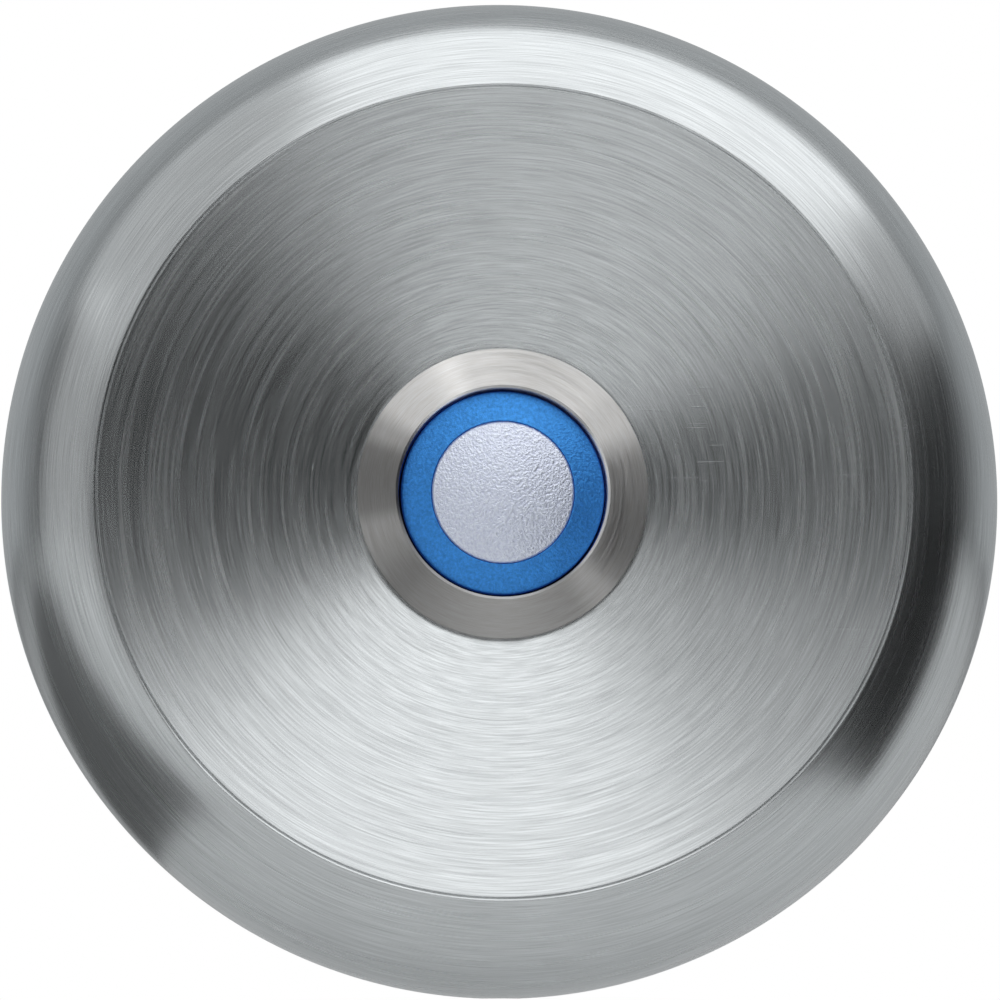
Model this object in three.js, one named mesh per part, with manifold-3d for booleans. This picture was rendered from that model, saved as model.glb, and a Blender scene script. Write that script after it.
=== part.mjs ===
// A round wall push button: a dished, circular-turned steel escutcheon with a ring-lit, vandal-resistant
// momentary push switch in its middle. The escutcheon drops over an aluminium mounting plate that is
// screwed to the wall, and one grub screw at its lower edge locks it there.
//
// Everything is drawn as seen from the front, in millimetres: x to the right, y up and z out of the
// wall towards the user, with the wall at z = 0. The exported group turns that drawing upright, so
// that the button faces -Y and +Z is up.

import * as THREE from "three";
import { mergeVertices } from "three/addons/utils/BufferGeometryUtils.js";
import Module from "manifold-3d";

const wasm = await Module();
wasm.setup();

// ---------------------------------------------------------------------------------------------
// Driving dimensions
// ---------------------------------------------------------------------------------------------

const degrees = Math.PI / 180;

const plateRadius = 38; // a 76 mm plate
const dishRadius = 30.8; // the crisp ridge between the dish and the rounded rim
const rimTilt = 12; // degrees that the rim already leans outwards at the ridge
const dishSlope = 9.2; // degrees that the dish falls towards its middle
const widestZ = 4.6; // height of the plate's widest circle above the wall
const sideTaper = 8; // degrees that the side runs in below that circle
const seatRadius = 11.4; // flat spot that the switch stands on
const webThickness = 3;
const steelBackZ = 0.3; // the steel stops short of the wall, and the gasket closes the gap

const bezelRadius = 11; // a 22 mm head on a 19 mm thread
const threadRadius = 9.45;
const bezelHeight = 1.9;
const boreRadius = 7.9; // front bore, in which the button slides
const rearBoreRadius = 8.35;
const barrelLength = 19;

const pressTravel = 1.8;
const bridgeTravel = 1.35; // the bridge lands on the fixed contacts before the button bottoms

const lensRadius = 7.68;
const capRadius = 5.35;
const stemRadius = 1.5;
const tipRadius = 1;

const mountThickness = 5;
const mountRadius = 32.6;
const mountHoleRadius = 17.5;
const fixingSpacing = 50; // between the middles of the two wall-screw slots
const grubZ = 3.3; // height of the grub screw and of the groove that it bites into

const gap = 0.05; // between pieces that rest on each other
const runningGap = 0.1; // radial, between a sliding piece and its guide

const fine = 48; // facets round the escutcheon and the mounting plate
const medium = 32; // round the switch
const coarse = 16; // round the small pieces

// ---------------------------------------------------------------------------------------------
// Heights worked out from the driving dimensions
// ---------------------------------------------------------------------------------------------

const rimArc = (plateRadius - dishRadius) / (1 - Math.sin(rimTilt * degrees));
const ridgeZ = widestZ + rimArc * Math.cos(rimTilt * degrees);
const seatZ = ridgeZ - (dishRadius - seatRadius) * Math.tan(dishSlope * degrees);
const webBackZ = seatZ - webThickness;

const flangeZ = seatZ + 0.12; // the compressed seal holds the head just off the plate
const lipZ = seatZ + bezelHeight;
const barrelEndZ = seatZ - barrelLength;

const lensTopZ = lipZ - 0.4;
const lensBottomZ = lensTopZ - 5.3;
const stopZ = lensBottomZ + 1.1; // the shoulder in the housing that holds the button in
const springCeilingZ = lensBottomZ + 1.5;

const boardTopZ = lensBottomZ - pressTravel - 1.1;
const boardThickness = 1;
const ledHeight = 0.8;
const guideTopZ = boardTopZ - boardThickness - gap;
const springFloorZ = guideTopZ - 2.15;
const chamberZ = springFloorZ - 3.6; // ceiling of the contact chamber

const shoulderZ = springFloorZ - 2.2; // step on the plunger that the contact spring bears on
const bridgeZ = chamberZ - 1.2;
const bridgeThickness = 0.4;
const contactHeight = 0.5;
const clipThickness = 0.4;
const clipZ = bridgeZ - bridgeThickness - gap;
const stemEndZ = clipZ - clipThickness - 0.45;

const fixedContactZ = bridgeZ - bridgeThickness - contactHeight - bridgeTravel - gap;
const footZ = fixedContactZ - contactHeight;
const stripThickness = 0.5;
const bossZ = footZ - stripThickness - gap;
const baseFlangeZ = barrelEndZ - gap;
const baseRearZ = baseFlangeZ - 2.25;
const pottingDepth = 0.8;
const bladeEndZ = baseRearZ - 6.5;
const pinEndZ = baseRearZ - 5;

const chamberSize = { x: 13.4, y: 7 };
const contactX = 4.3; // of the silver contacts, either side of the plunger
const bladeX = 5.6;
const bladeWidth = 2.8;
const pinY = 6; // of the lamp pins, above and below the plunger
const pinRadius = 0.4;

// ---------------------------------------------------------------------------------------------
// Shape helpers
// ---------------------------------------------------------------------------------------------

// Points along an arc in a profile, its angle measured from the z axis towards larger radius.
function arc(centreR, centreZ, radius, from, to, steps) {
  return Array.from({ length: steps + 1 }, (_, i) => {
    const angle = (from + ((to - from) * i) / steps) * degrees;
    return [centreR + radius * Math.sin(angle), centreZ + radius * Math.cos(angle)];
  });
}

// A turned solid about the z axis, from a profile of [radius, z] points.
function turned(profile, segments) {
  const points = profile.map(([r, z]) => new THREE.Vector2(r, z));
  const solidAtAxis = points[0].x === 0 && points.at(-1).x === 0;
  if (!solidAtAxis) points.push(points[0].clone());
  if (THREE.ShapeUtils.area(points) < 0) points.reverse();
  return new THREE.LatheGeometry(points, segments).rotateX(90 * degrees);
}

// A flat-ended disc or ring between two heights.
function disc(outer, inner, lowZ, highZ, segments) {
  return turned([[inner, lowZ], [outer, lowZ], [outer, highZ], [inner, highZ]], segments);
}

function box(sizeX, sizeY, lowZ, highZ, x = 0, y = 0) {
  return new THREE.BoxGeometry(sizeX, sizeY, highZ - lowZ).translate(x, y, (lowZ + highZ) / 2);
}

// A flat outline pushed up from lowZ to highZ.
function slab(shape, lowZ, highZ, curveSegments = 6) {
  const options = { depth: highZ - lowZ, bevelEnabled: false, curveSegments };
  return new THREE.ExtrudeGeometry(shape, options).translate(0, 0, lowZ);
}

function circle(radius, segments, x = 0, y = 0) {
  const at = (i) => (i / segments) * 360 * degrees;
  return Array.from({ length: segments }, (_, i) =>
    new THREE.Vector2(x + radius * Math.cos(at(i)), y + radius * Math.sin(at(i))));
}

// A slot that runs along y, with round ends.
function slotShape(width, length, x) {
  const end = (length - width) / 2;
  const shape = new THREE.Shape();
  shape.absarc(x, end, width / 2, 0, 180 * degrees, false);
  shape.absarc(x, -end, width / 2, 180 * degrees, 360 * degrees, false);
  shape.closePath();
  return shape;
}

// A wire along a helix, from its first turn at lowZ to its last at highZ.
class Helix extends THREE.Curve {
  constructor(radius, lowZ, highZ, turns) {
    super();
    Object.assign(this, { radius, lowZ, highZ, turns });
  }

  getPoint(t, target = new THREE.Vector3()) {
    const angle = t * this.turns * 360 * degrees;
    const z = this.lowZ + (this.highZ - this.lowZ) * t;
    return target.set(this.radius * Math.cos(angle), this.radius * Math.sin(angle), z);
  }
}

function spring(coilRadius, wireRadius, lowZ, highZ, turns, stepsPerTurn) {
  const end = wireRadius * 1.2; // keeps the wire's rounded flank off both seats
  const wire = new THREE.Shape(circle(wireRadius, 5));
  const extrudePath = new Helix(coilRadius, lowZ + end, highZ - end, turns);
  const steps = Math.round(turns * stepsPerTurn);
  return new THREE.ExtrudeGeometry(wire, { steps, extrudePath, bevelEnabled: false });
}

// ---------------------------------------------------------------------------------------------
// Booleans
// ---------------------------------------------------------------------------------------------

function solidOf(geometry) {
  const bare = geometry.index ? geometry.toNonIndexed() : geometry.clone();
  bare.deleteAttribute("normal");
  bare.deleteAttribute("uv");
  const merged = mergeVertices(bare, 1e-4);
  const vertProperties = merged.attributes.position.array;
  const triVerts = new Uint32Array(merged.index.array);
  return new wasm.Manifold(new wasm.Mesh({ numProp: 3, vertProperties, triVerts }));
}

function geometryOf(solid) {
  const mesh = solid.getMesh();
  const positions = new THREE.BufferAttribute(new Float32Array(mesh.vertProperties), 3);
  const geometry = new THREE.BufferGeometry();
  geometry.setAttribute("position", positions);
  geometry.setIndex(new THREE.BufferAttribute(new Uint32Array(mesh.triVerts), 1));
  geometry.computeVertexNormals();
  return geometry;
}

function cut(body, ...tools) {
  return geometryOf(tools.reduce((left, tool) => left.subtract(solidOf(tool)), solidOf(body)));
}

function joined(...pieces) {
  return geometryOf(pieces.map(solidOf).reduce((all, piece) => all.add(piece)));
}

function common(body, tool) {
  return geometryOf(solidOf(body).intersect(solidOf(tool)));
}

// ---------------------------------------------------------------------------------------------
// Escutcheon, mounting plate and what holds them
// ---------------------------------------------------------------------------------------------

const gasket = { inner: 33.9, outer: 36.9, depth: 1 };
const cavityRadius = 33;
const grubRadius = 1.5;

// The steel cover: dish, ridge and rim in front, and a hollow back with a groove for the gasket.
function escutcheon() {
  const rimCentreR = plateRadius - rimArc;
  const rim = arc(rimCentreR, widestZ, rimArc, rimTilt, 90 + sideTaper, 9);
  const [lastR, lastZ] = rim.at(-1);
  const backRadius = lastR - (lastZ - steelBackZ) * Math.tan(sideTaper * degrees);
  const grooveTop = steelBackZ + gasket.depth;
  const nutSeatRadius = 14;
  const roofRadius = 27;
  const roofZ = webBackZ + (roofRadius - nutSeatRadius) * Math.tan(dishSlope * degrees);
  const wallTopZ = roofZ - 2.6;
  const boltedBore = threadRadius + 0.2;
  const profile = [
    [boltedBore, webBackZ],
    [boltedBore, seatZ],
    [seatRadius, seatZ],
    ...rim,
    [backRadius, steelBackZ],
    [gasket.outer, steelBackZ],
    [gasket.outer, grooveTop],
    [gasket.inner, grooveTop],
    [gasket.inner, steelBackZ],
    [cavityRadius, steelBackZ],
    [cavityRadius, wallTopZ],
    [cavityRadius - 1.8, roofZ - 0.6],
    [roofRadius, roofZ],
    [nutSeatRadius, webBackZ],
  ];
  const grubHole = new THREE.CylinderGeometry(grubRadius + 0.06, grubRadius + 0.06, 12, coarse)
    .translate(0, -36, grubZ);
  return cut(turned(profile, fine), grubHole);
}

// Soft ring between the rim and the wall.
function wallGasket() {
  return disc(gasket.outer - 0.1, gasket.inner + 0.1, 0, steelBackZ + gasket.depth - gap, fine);
}

// Aluminium disc on the wall, with a V groove round its edge and two counterbored screw slots.
function mountingPlate() {
  const grooveDepth = 1.5;
  const body = turned([
    [mountHoleRadius, 0],
    [mountRadius, 0],
    [mountRadius, grubZ - grooveDepth],
    [mountRadius - grooveDepth, grubZ],
    [mountRadius, grubZ + grooveDepth],
    [mountRadius, mountThickness],
    [mountHoleRadius, mountThickness],
  ], fine);
  const slots = [-fixingSpacing / 2, fixingSpacing / 2].flatMap((x) => [
    slab(slotShape(4.6, 9, x), -1, mountThickness + 1),
    slab(slotShape(8.4, 12.8, x), 2.5, mountThickness + 1),
  ]);
  return cut(body, ...slots);
}

// M3 cone-point grub screw with a hexagon socket, standing upright under the rim.
function lockScrew() {
  const headY = -36.9;
  const coneBaseY = -33;
  const tipY = -31.8;
  const socketRadius = 0.87;
  const body = turned([
    [0, headY],
    [grubRadius - 0.2, headY],
    [grubRadius, headY + 0.2],
    [grubRadius, coneBaseY],
    [0.3, tipY],
    [0, tipY],
  ], coarse);
  const socket = turned([
    [0, headY - 1],
    [socketRadius, headY - 1],
    [socketRadius, headY + 1.5],
    [0, headY + 1.5],
  ], 6);
  return cut(body, socket).rotateX(-90 * degrees).translate(0, 0, grubZ);
}

// ---------------------------------------------------------------------------------------------
// Switch body
// ---------------------------------------------------------------------------------------------

const sealGroove = { inner: 9.85, outer: 10.6, depth: 0.43 };

// Steel head and threaded barrel in one piece.
function switchHousing() {
  const edgeZ = flangeZ + 0.48;
  return turned([
    [threadRadius - 0.5, barrelEndZ],
    [threadRadius, barrelEndZ + 0.5],
    [threadRadius, flangeZ],
    [sealGroove.inner, flangeZ],
    [sealGroove.inner, flangeZ + sealGroove.depth],
    [sealGroove.outer, flangeZ + sealGroove.depth],
    [sealGroove.outer, flangeZ],
    [bezelRadius, flangeZ],
    [bezelRadius, edgeZ],
    [boreRadius + 0.3, lipZ],
    [boreRadius + 0.1, lipZ],
    [boreRadius, lipZ - 0.15],
    [boreRadius, stopZ],
    [rearBoreRadius, stopZ],
    [rearBoreRadius, barrelEndZ],
  ], medium);
}

function bezelSeal() {
  const top = flangeZ + sealGroove.depth - gap;
  return disc(sealGroove.outer - gap, sealGroove.inner + gap, seatZ + 0.02, top, medium);
}

// Shakeproof washer: a flat ring whose bore is cut into teeth.
function lockWasher() {
  const teeth = 14;
  const outline = new THREE.Shape(circle(12, medium));
  const bore = [];
  for (let i = 0; i < teeth; i += 1) {
    for (const [share, radius] of [[0, 10.6], [0.4, 10.6], [0.5, 9.7], [0.9, 9.7]]) {
      const angle = ((i + share) / teeth) * 360 * degrees;
      bore.push(new THREE.Vector2(radius * Math.cos(angle), radius * Math.sin(angle)));
    }
  }
  outline.holes.push(new THREE.Path(bore.reverse()));
  return slab(outline, webBackZ - gap - 0.8, webBackZ - gap);
}

// Thin hexagon nut, its corners chamfered front and back.
function panelNut() {
  const acrossFlats = 22;
  const cornerRadius = acrossFlats / 2 / Math.cos(30 * degrees);
  const top = webBackZ - 0.8 - 2 * gap;
  const bottom = top - 2.5;
  const hexagon = disc(cornerRadius, threadRadius + 0.15, bottom, top, 6);
  const chamfered = turned([
    [0, bottom],
    [cornerRadius - 0.9, bottom],
    [cornerRadius, bottom + 0.5],
    [cornerRadius, top - 0.5],
    [cornerRadius - 0.9, top],
    [0, top],
  ], medium);
  const bore = disc(threadRadius + 0.1, 0, bottom - 1, top + 1, medium);
  return cut(common(hexagon, chamfered), bore);
}

// Insulating body inside the barrel: spring well and plunger guide in front, contact chamber behind.
function guideBody() {
  const bodyRadius = rearBoreRadius - runningGap;
  const bodyEndZ = barrelEndZ + 0.2;
  const body = turned([
    [stemRadius + runningGap, bodyEndZ],
    [bodyRadius, bodyEndZ],
    [bodyRadius, guideTopZ],
    [3.8, guideTopZ],
    [3.8, springFloorZ],
    [stemRadius + runningGap, springFloorZ],
  ], medium);
  const chamber = box(chamberSize.x, chamberSize.y, bodyEndZ - 1, chamberZ);
  return cut(body, chamber, ...pinHoles(bodyEndZ - 1, guideTopZ + 1));
}

function pinHoles(lowZ, highZ) {
  return [pinY, -pinY].map((y) =>
    disc(pinRadius + runningGap, 0, lowZ, highZ, 12).translate(0, y, 0));
}

// ---------------------------------------------------------------------------------------------
// Lamp: ring board, four lamps, two resistors and two pins
// ---------------------------------------------------------------------------------------------

function ledBoard() {
  const board = disc(rearBoreRadius - 0.25, 3.8, boardTopZ - boardThickness, boardTopZ, medium);
  return cut(board, ...pinHoles(boardTopZ - 2 * boardThickness, boardTopZ + 1));
}

// A small surface-mounted block on the board, at an angle round the ring.
function onBoard(sizeX, sizeY, height, angle) {
  return box(sizeX, sizeY, boardTopZ + gap, boardTopZ + gap + height)
    .translate(5.9, 0, 0)
    .rotateZ(angle * degrees);
}

function lampPin(y) {
  return disc(pinRadius, 0, pinEndZ, boardTopZ + 0.3, 12).translate(0, y, 0);
}

// ---------------------------------------------------------------------------------------------
// Contacts
// ---------------------------------------------------------------------------------------------

// Moulded base that closes the barrel, with a boss under the contacts and a recess for the resin.
function contactBase() {
  const flange = turned([
    [0, baseRearZ + pottingDepth],
    [7.6, baseRearZ + pottingDepth],
    [7.6, baseRearZ],
    [8.6, baseRearZ],
    [9, baseRearZ + 0.4],
    [9, baseFlangeZ],
    [0, baseFlangeZ],
  ], medium);
  const bossTop = box(chamberSize.x - 0.2, chamberSize.y - 0.2, baseFlangeZ - 1, bossZ);
  return cut(joined(flange, bossTop), ...rearHoles(baseRearZ - 1, bossZ + 1));
}

// Passages for the two blades and the two lamp pins.
function rearHoles(lowZ, highZ) {
  const blades = [bladeX, -bladeX].map((x) =>
    box(stripThickness + 0.1, bladeWidth + 0.1, lowZ, highZ, x));
  return [...blades, ...pinHoles(lowZ, highZ)];
}

// Resin that seals the passages at the rear.
function rearPotting() {
  const body = disc(7.5, 0, baseRearZ + gap, baseRearZ + pottingDepth - gap, medium);
  return cut(body, ...rearHoles(baseRearZ - 1, baseRearZ + pottingDepth + 1));
}

// Bent strip: a foot under the fixed contact and a blade out of the back, with a wire hole.
function terminal(side) {
  const footInner = contactX - 1.1;
  const outer = bladeX + stripThickness / 2;
  const blade = box(stripThickness, bladeWidth, bladeEndZ, footZ, bladeX);
  const foot = box(outer - footInner, bladeWidth, footZ - stripThickness, footZ,
    (outer + footInner) / 2);
  const wireHole = new THREE.CylinderGeometry(0.6, 0.6, 3, 12)
    .rotateZ(90 * degrees)
    .translate(bladeX, 0, bladeEndZ + 1.6);
  return cut(joined(blade, foot), wireHole).rotateZ(side > 0 ? 0 : 180 * degrees);
}

function contactRivet(x, radius, lowZ, highZ) {
  return disc(radius, 0, lowZ, highZ, 12).translate(x, 0, 0);
}

// ---------------------------------------------------------------------------------------------
// Button: what travels with the finger
// ---------------------------------------------------------------------------------------------

const oRing = { radius: 0.53, seat: 6.72, z: lensTopZ - 2.3 };

// Translucent body of the button. Its ring shows round the cap, and its skirt stops in the housing.
function lightRing() {
  const grooveHalf = 0.6;
  const fall = 0.5; // from the cap's edge to the rim of the ring
  return turned([
    [2.3, lensBottomZ],
    [2.3, lensTopZ - 1.85],
    [stemRadius + gap, lensTopZ - 1.85],
    [stemRadius + gap, lensTopZ - 0.45],
    [capRadius + gap, lensTopZ - 0.45],
    [capRadius + gap, lensTopZ],
    [lensRadius - 0.15, lensTopZ - fall],
    [lensRadius, lensTopZ - fall - 0.15],
    [lensRadius, oRing.z + grooveHalf],
    [oRing.seat, oRing.z + grooveHalf],
    [oRing.seat, oRing.z - grooveHalf],
    [lensRadius, oRing.z - grooveHalf],
    [lensRadius, stopZ - 0.1],
    [rearBoreRadius - 0.15, stopZ - 0.1],
    [rearBoreRadius - 0.15, lensBottomZ],
    [3.75, lensBottomZ],
    [3.75, springCeilingZ],
    [2.6, springCeilingZ],
    [2.6, lensBottomZ],
  ], medium);
}

// Domed metal cap with the stub that fixes it.
function pushCap() {
  const edgeZ = lensTopZ + 0.1;
  const domeRise = 0.85;
  const domeRadius = (capRadius ** 2 + domeRise ** 2) / (2 * domeRise);
  const domeEdge = Math.asin(capRadius / domeRadius) / degrees;
  return turned([
    [0, lensTopZ - 1.8],
    [stemRadius, lensTopZ - 1.8],
    [stemRadius, lensTopZ - 0.4],
    [capRadius, lensTopZ - 0.4],
    ...arc(0, edgeZ + domeRise - domeRadius, domeRadius, domeEdge, 0, 5),
  ], medium);
}

// Plunger: head in the lens, stem through the guide, and a thin tip that carries the bridge.
function plunger() {
  return turned([
    [0, stemEndZ],
    [tipRadius - 0.2, stemEndZ],
    [tipRadius, stemEndZ + 0.2],
    [tipRadius, clipZ - clipThickness - gap],
    [0.7, clipZ - clipThickness - gap],
    [0.7, clipZ + gap],
    [tipRadius, clipZ + gap],
    [tipRadius, shoulderZ],
    [stemRadius, shoulderZ],
    [stemRadius, lensBottomZ + 0.3],
    [2.2, lensBottomZ + 0.3],
    [2.2, lensTopZ - 1.9],
    [0, lensTopZ - 1.9],
  ], coarse);
}

function actuatorSeal() {
  const sides = 8;
  const section = Array.from({ length: sides }, (_, i) => {
    const angle = (i / sides) * 360 * degrees;
    const r = oRing.seat + gap + oRing.radius + oRing.radius * Math.cos(angle);
    return [r, oRing.z + oRing.radius * Math.sin(angle)];
  });
  return turned(section, medium);
}

// E-clip in the groove at the plunger's tip.
function retainingClip() {
  const outer = 2;
  const mouth = 40; // degrees either side of its opening
  const shape = new THREE.Shape();
  shape.absarc(0, 0, outer, mouth * degrees, (360 - mouth) * degrees, false);
  shape.absarc(0, 0, 0.8, (360 - mouth) * degrees, mouth * degrees, true);
  shape.closePath();
  return slab(shape, clipZ - clipThickness, clipZ, 12);
}

// ---------------------------------------------------------------------------------------------
// Moving bridge
// ---------------------------------------------------------------------------------------------

function contactBridge() {
  const halfLength = 5.7;
  const halfWidth = 1.6;
  const waist = 2.4;
  const outline = new THREE.Shape([
    [-halfLength, -halfWidth + 0.5], [-halfLength + 0.5, -halfWidth], [-waist, -halfWidth],
    [-1.4, -2.1], [1.4, -2.1], [waist, -halfWidth],
    [halfLength - 0.5, -halfWidth], [halfLength, -halfWidth + 0.5],
    [halfLength, halfWidth - 0.5], [halfLength - 0.5, halfWidth], [waist, halfWidth],
    [1.4, 2.1], [-1.4, 2.1], [-waist, halfWidth],
    [-halfLength + 0.5, halfWidth], [-halfLength, halfWidth - 0.5],
  ].map(([x, y]) => new THREE.Vector2(x, y)));
  outline.holes.push(new THREE.Path(circle(tipRadius + runningGap, coarse).reverse()));
  return slab(outline, bridgeZ - bridgeThickness, bridgeZ);
}

// ---------------------------------------------------------------------------------------------
// Materials and assembly
// ---------------------------------------------------------------------------------------------

function material(color, roughness, metalness) {
  return new THREE.MeshStandardMaterial({ color, roughness, metalness });
}

const finishes = {
  brushedSteel: material(0x9a9f9f, 0.42, 1),
  turnedSteel: material(0xa8a49e, 0.28, 1),
  blastedSilver: material(0xc9cbe0, 0.5, 0.8),
  blueLens: material(0x2f6fbe, 0.45, 0),
  aluminium: material(0xb5b7b8, 0.45, 1),
  nickel: material(0xb9b3a3, 0.3, 1),
  zincSteel: material(0x8d9094, 0.4, 1),
  springSteel: material(0x8a8c90, 0.3, 1),
  tinnedCopper: material(0xc0b7a6, 0.35, 1),
  bronze: material(0xb98a4b, 0.35, 1),
  silver: material(0xd8d8d4, 0.25, 1),
  blackPlastic: material(0x17181a, 0.5, 0),
  naturalPlastic: material(0xe9e6dc, 0.45, 0),
  rubber: material(0x1c1c1d, 0.85, 0),
  resin: material(0x101112, 0.2, 0),
  boardMask: material(0xe6e8e4, 0.5, 0),
  lampBody: material(0xf2eec8, 0.35, 0),
  resistorBody: material(0x26282b, 0.5, 0),
};

const button = new THREE.Group();

function place(name, geometry, finish) {
  const mesh = new THREE.Mesh(geometry, finish);
  mesh.name = name;
  button.add(mesh);
}

place("escutcheon", escutcheon(), finishes.brushedSteel);
place("wall_gasket", wallGasket(), finishes.rubber);
place("mounting_plate", mountingPlate(), finishes.aluminium);
place("lock_screw", lockScrew(), finishes.zincSteel);

place("switch_housing", switchHousing(), finishes.turnedSteel);
place("bezel_seal", bezelSeal(), finishes.rubber);
place("lock_washer", lockWasher(), finishes.zincSteel);
place("panel_nut", panelNut(), finishes.nickel);
place("guide_body", guideBody(), finishes.blackPlastic);

place("led_board", ledBoard(), finishes.boardMask);
[45, 135, 225, 315].forEach((angle, i) =>
  place(`led_${i + 1}`, onBoard(1.3, 2, ledHeight - gap, angle), finishes.lampBody));
[0, 180].forEach((angle, i) =>
  place(`resistor_${i + 1}`, onBoard(1.25, 2, 0.5, angle), finishes.resistorBody));
place("led_pin_plus", lampPin(pinY), finishes.tinnedCopper);
place("led_pin_minus", lampPin(-pinY), finishes.tinnedCopper);

place("contact_base", contactBase(), finishes.blackPlastic);
place("rear_potting", rearPotting(), finishes.resin);
place("terminal_common", terminal(-1), finishes.tinnedCopper);
place("terminal_switched", terminal(1), finishes.tinnedCopper);
for (const [side, x] of [["left", -contactX], ["right", contactX]]) {
  place(`fixed_contact_${side}`, contactRivet(x, 1, footZ + 0.02, fixedContactZ), finishes.silver);
  const under = bridgeZ - bridgeThickness;
  place(`moving_contact_${side}`, contactRivet(x, 0.9, under - contactHeight, under - 0.02),
    finishes.silver);
}

place("light_ring", lightRing(), finishes.blueLens);
place("push_cap", pushCap(), finishes.blastedSilver);
place("plunger", plunger(), finishes.naturalPlastic);
place("actuator_seal", actuatorSeal(), finishes.rubber);
place("retaining_clip", retainingClip(), finishes.springSteel);
place("contact_bridge", contactBridge(), finishes.bronze);

place("return_spring", spring(3.15, 0.25, springFloorZ, springCeilingZ, 5.5, 10),
  finishes.springSteel);
place("contact_spring", spring(1.23, 0.14, bridgeZ, shoulderZ, 4.5, 9), finishes.springSteel);

button.rotation.x = 90 * degrees;

export default button;
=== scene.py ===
"""A round wall push button, dressed for its picture: a dished, circular-brushed steel cover with a
ring-lit, vandal-resistant push switch in its middle.

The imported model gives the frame: what moves, and where every part stands. Each part is modelled
again here with its fine shape and its finish, and rides on the body that its CAD node belongs to.
The button faces -Y and +Z is up. Outlines are given as radius and height above the wall, in
millimetres.
"""

import logging
import math
from dataclasses import dataclass, field
from enum import Enum
from typing import Iterable

import bmesh
import bpy
from mathutils import Matrix, Vector


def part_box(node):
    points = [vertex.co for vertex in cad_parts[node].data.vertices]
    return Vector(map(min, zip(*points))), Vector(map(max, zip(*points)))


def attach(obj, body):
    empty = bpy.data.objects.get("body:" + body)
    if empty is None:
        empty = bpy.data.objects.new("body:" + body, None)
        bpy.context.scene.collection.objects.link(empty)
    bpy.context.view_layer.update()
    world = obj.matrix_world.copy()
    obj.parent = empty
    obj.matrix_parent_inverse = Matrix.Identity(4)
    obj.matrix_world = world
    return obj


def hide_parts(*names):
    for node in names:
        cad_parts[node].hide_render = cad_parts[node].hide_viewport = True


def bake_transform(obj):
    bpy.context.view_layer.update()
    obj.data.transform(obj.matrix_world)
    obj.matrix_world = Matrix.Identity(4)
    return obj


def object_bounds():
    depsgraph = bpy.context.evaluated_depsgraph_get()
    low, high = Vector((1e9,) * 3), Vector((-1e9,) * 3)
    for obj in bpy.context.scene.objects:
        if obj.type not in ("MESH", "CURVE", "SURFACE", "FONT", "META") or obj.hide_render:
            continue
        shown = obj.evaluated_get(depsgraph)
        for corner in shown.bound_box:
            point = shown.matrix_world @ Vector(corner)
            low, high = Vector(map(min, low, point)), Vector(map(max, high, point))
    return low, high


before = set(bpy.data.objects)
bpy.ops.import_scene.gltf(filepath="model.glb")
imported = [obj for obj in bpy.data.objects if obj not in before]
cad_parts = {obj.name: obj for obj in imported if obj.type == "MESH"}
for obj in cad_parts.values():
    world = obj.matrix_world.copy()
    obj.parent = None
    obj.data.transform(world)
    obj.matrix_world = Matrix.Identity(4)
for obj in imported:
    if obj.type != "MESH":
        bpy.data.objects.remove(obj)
cad_low, cad_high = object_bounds()

log = logging.getLogger("push_button")

MM = 0.001
TURN = math.tau
WELD = 2e-7  # metres within which points of a seam are one
ROWS = 3  # of nodes in a frame of the node editor
SPREAD = 220  # between its columns and rows
LIE_FORWARD = Matrix.Rotation(TURN / 4, 4, "X")  # from standing up to lying along the axis

Place = tuple[float, float, float]
Colour = tuple[float, float, float]


class Body(Enum):
    """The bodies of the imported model."""

    FIXED = "root"
    BUTTON = "button"
    BRIDGE = "bridge"


# ---------------------------------------------------------------------------------------------
# Mesh tools
# ---------------------------------------------------------------------------------------------


def front(node: str) -> float:
    """Height of a CAD node's front above the wall, in millimetres."""
    return -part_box(node)[0].y / MM


def rear(node: str) -> float:
    """Height of a CAD node's rear above the wall, in millimetres."""
    return -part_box(node)[1].y / MM


def outer(node: str) -> float:
    """Outer radius of a round CAD node about the button's axis, in millimetres."""
    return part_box(node)[1].x / MM


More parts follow.
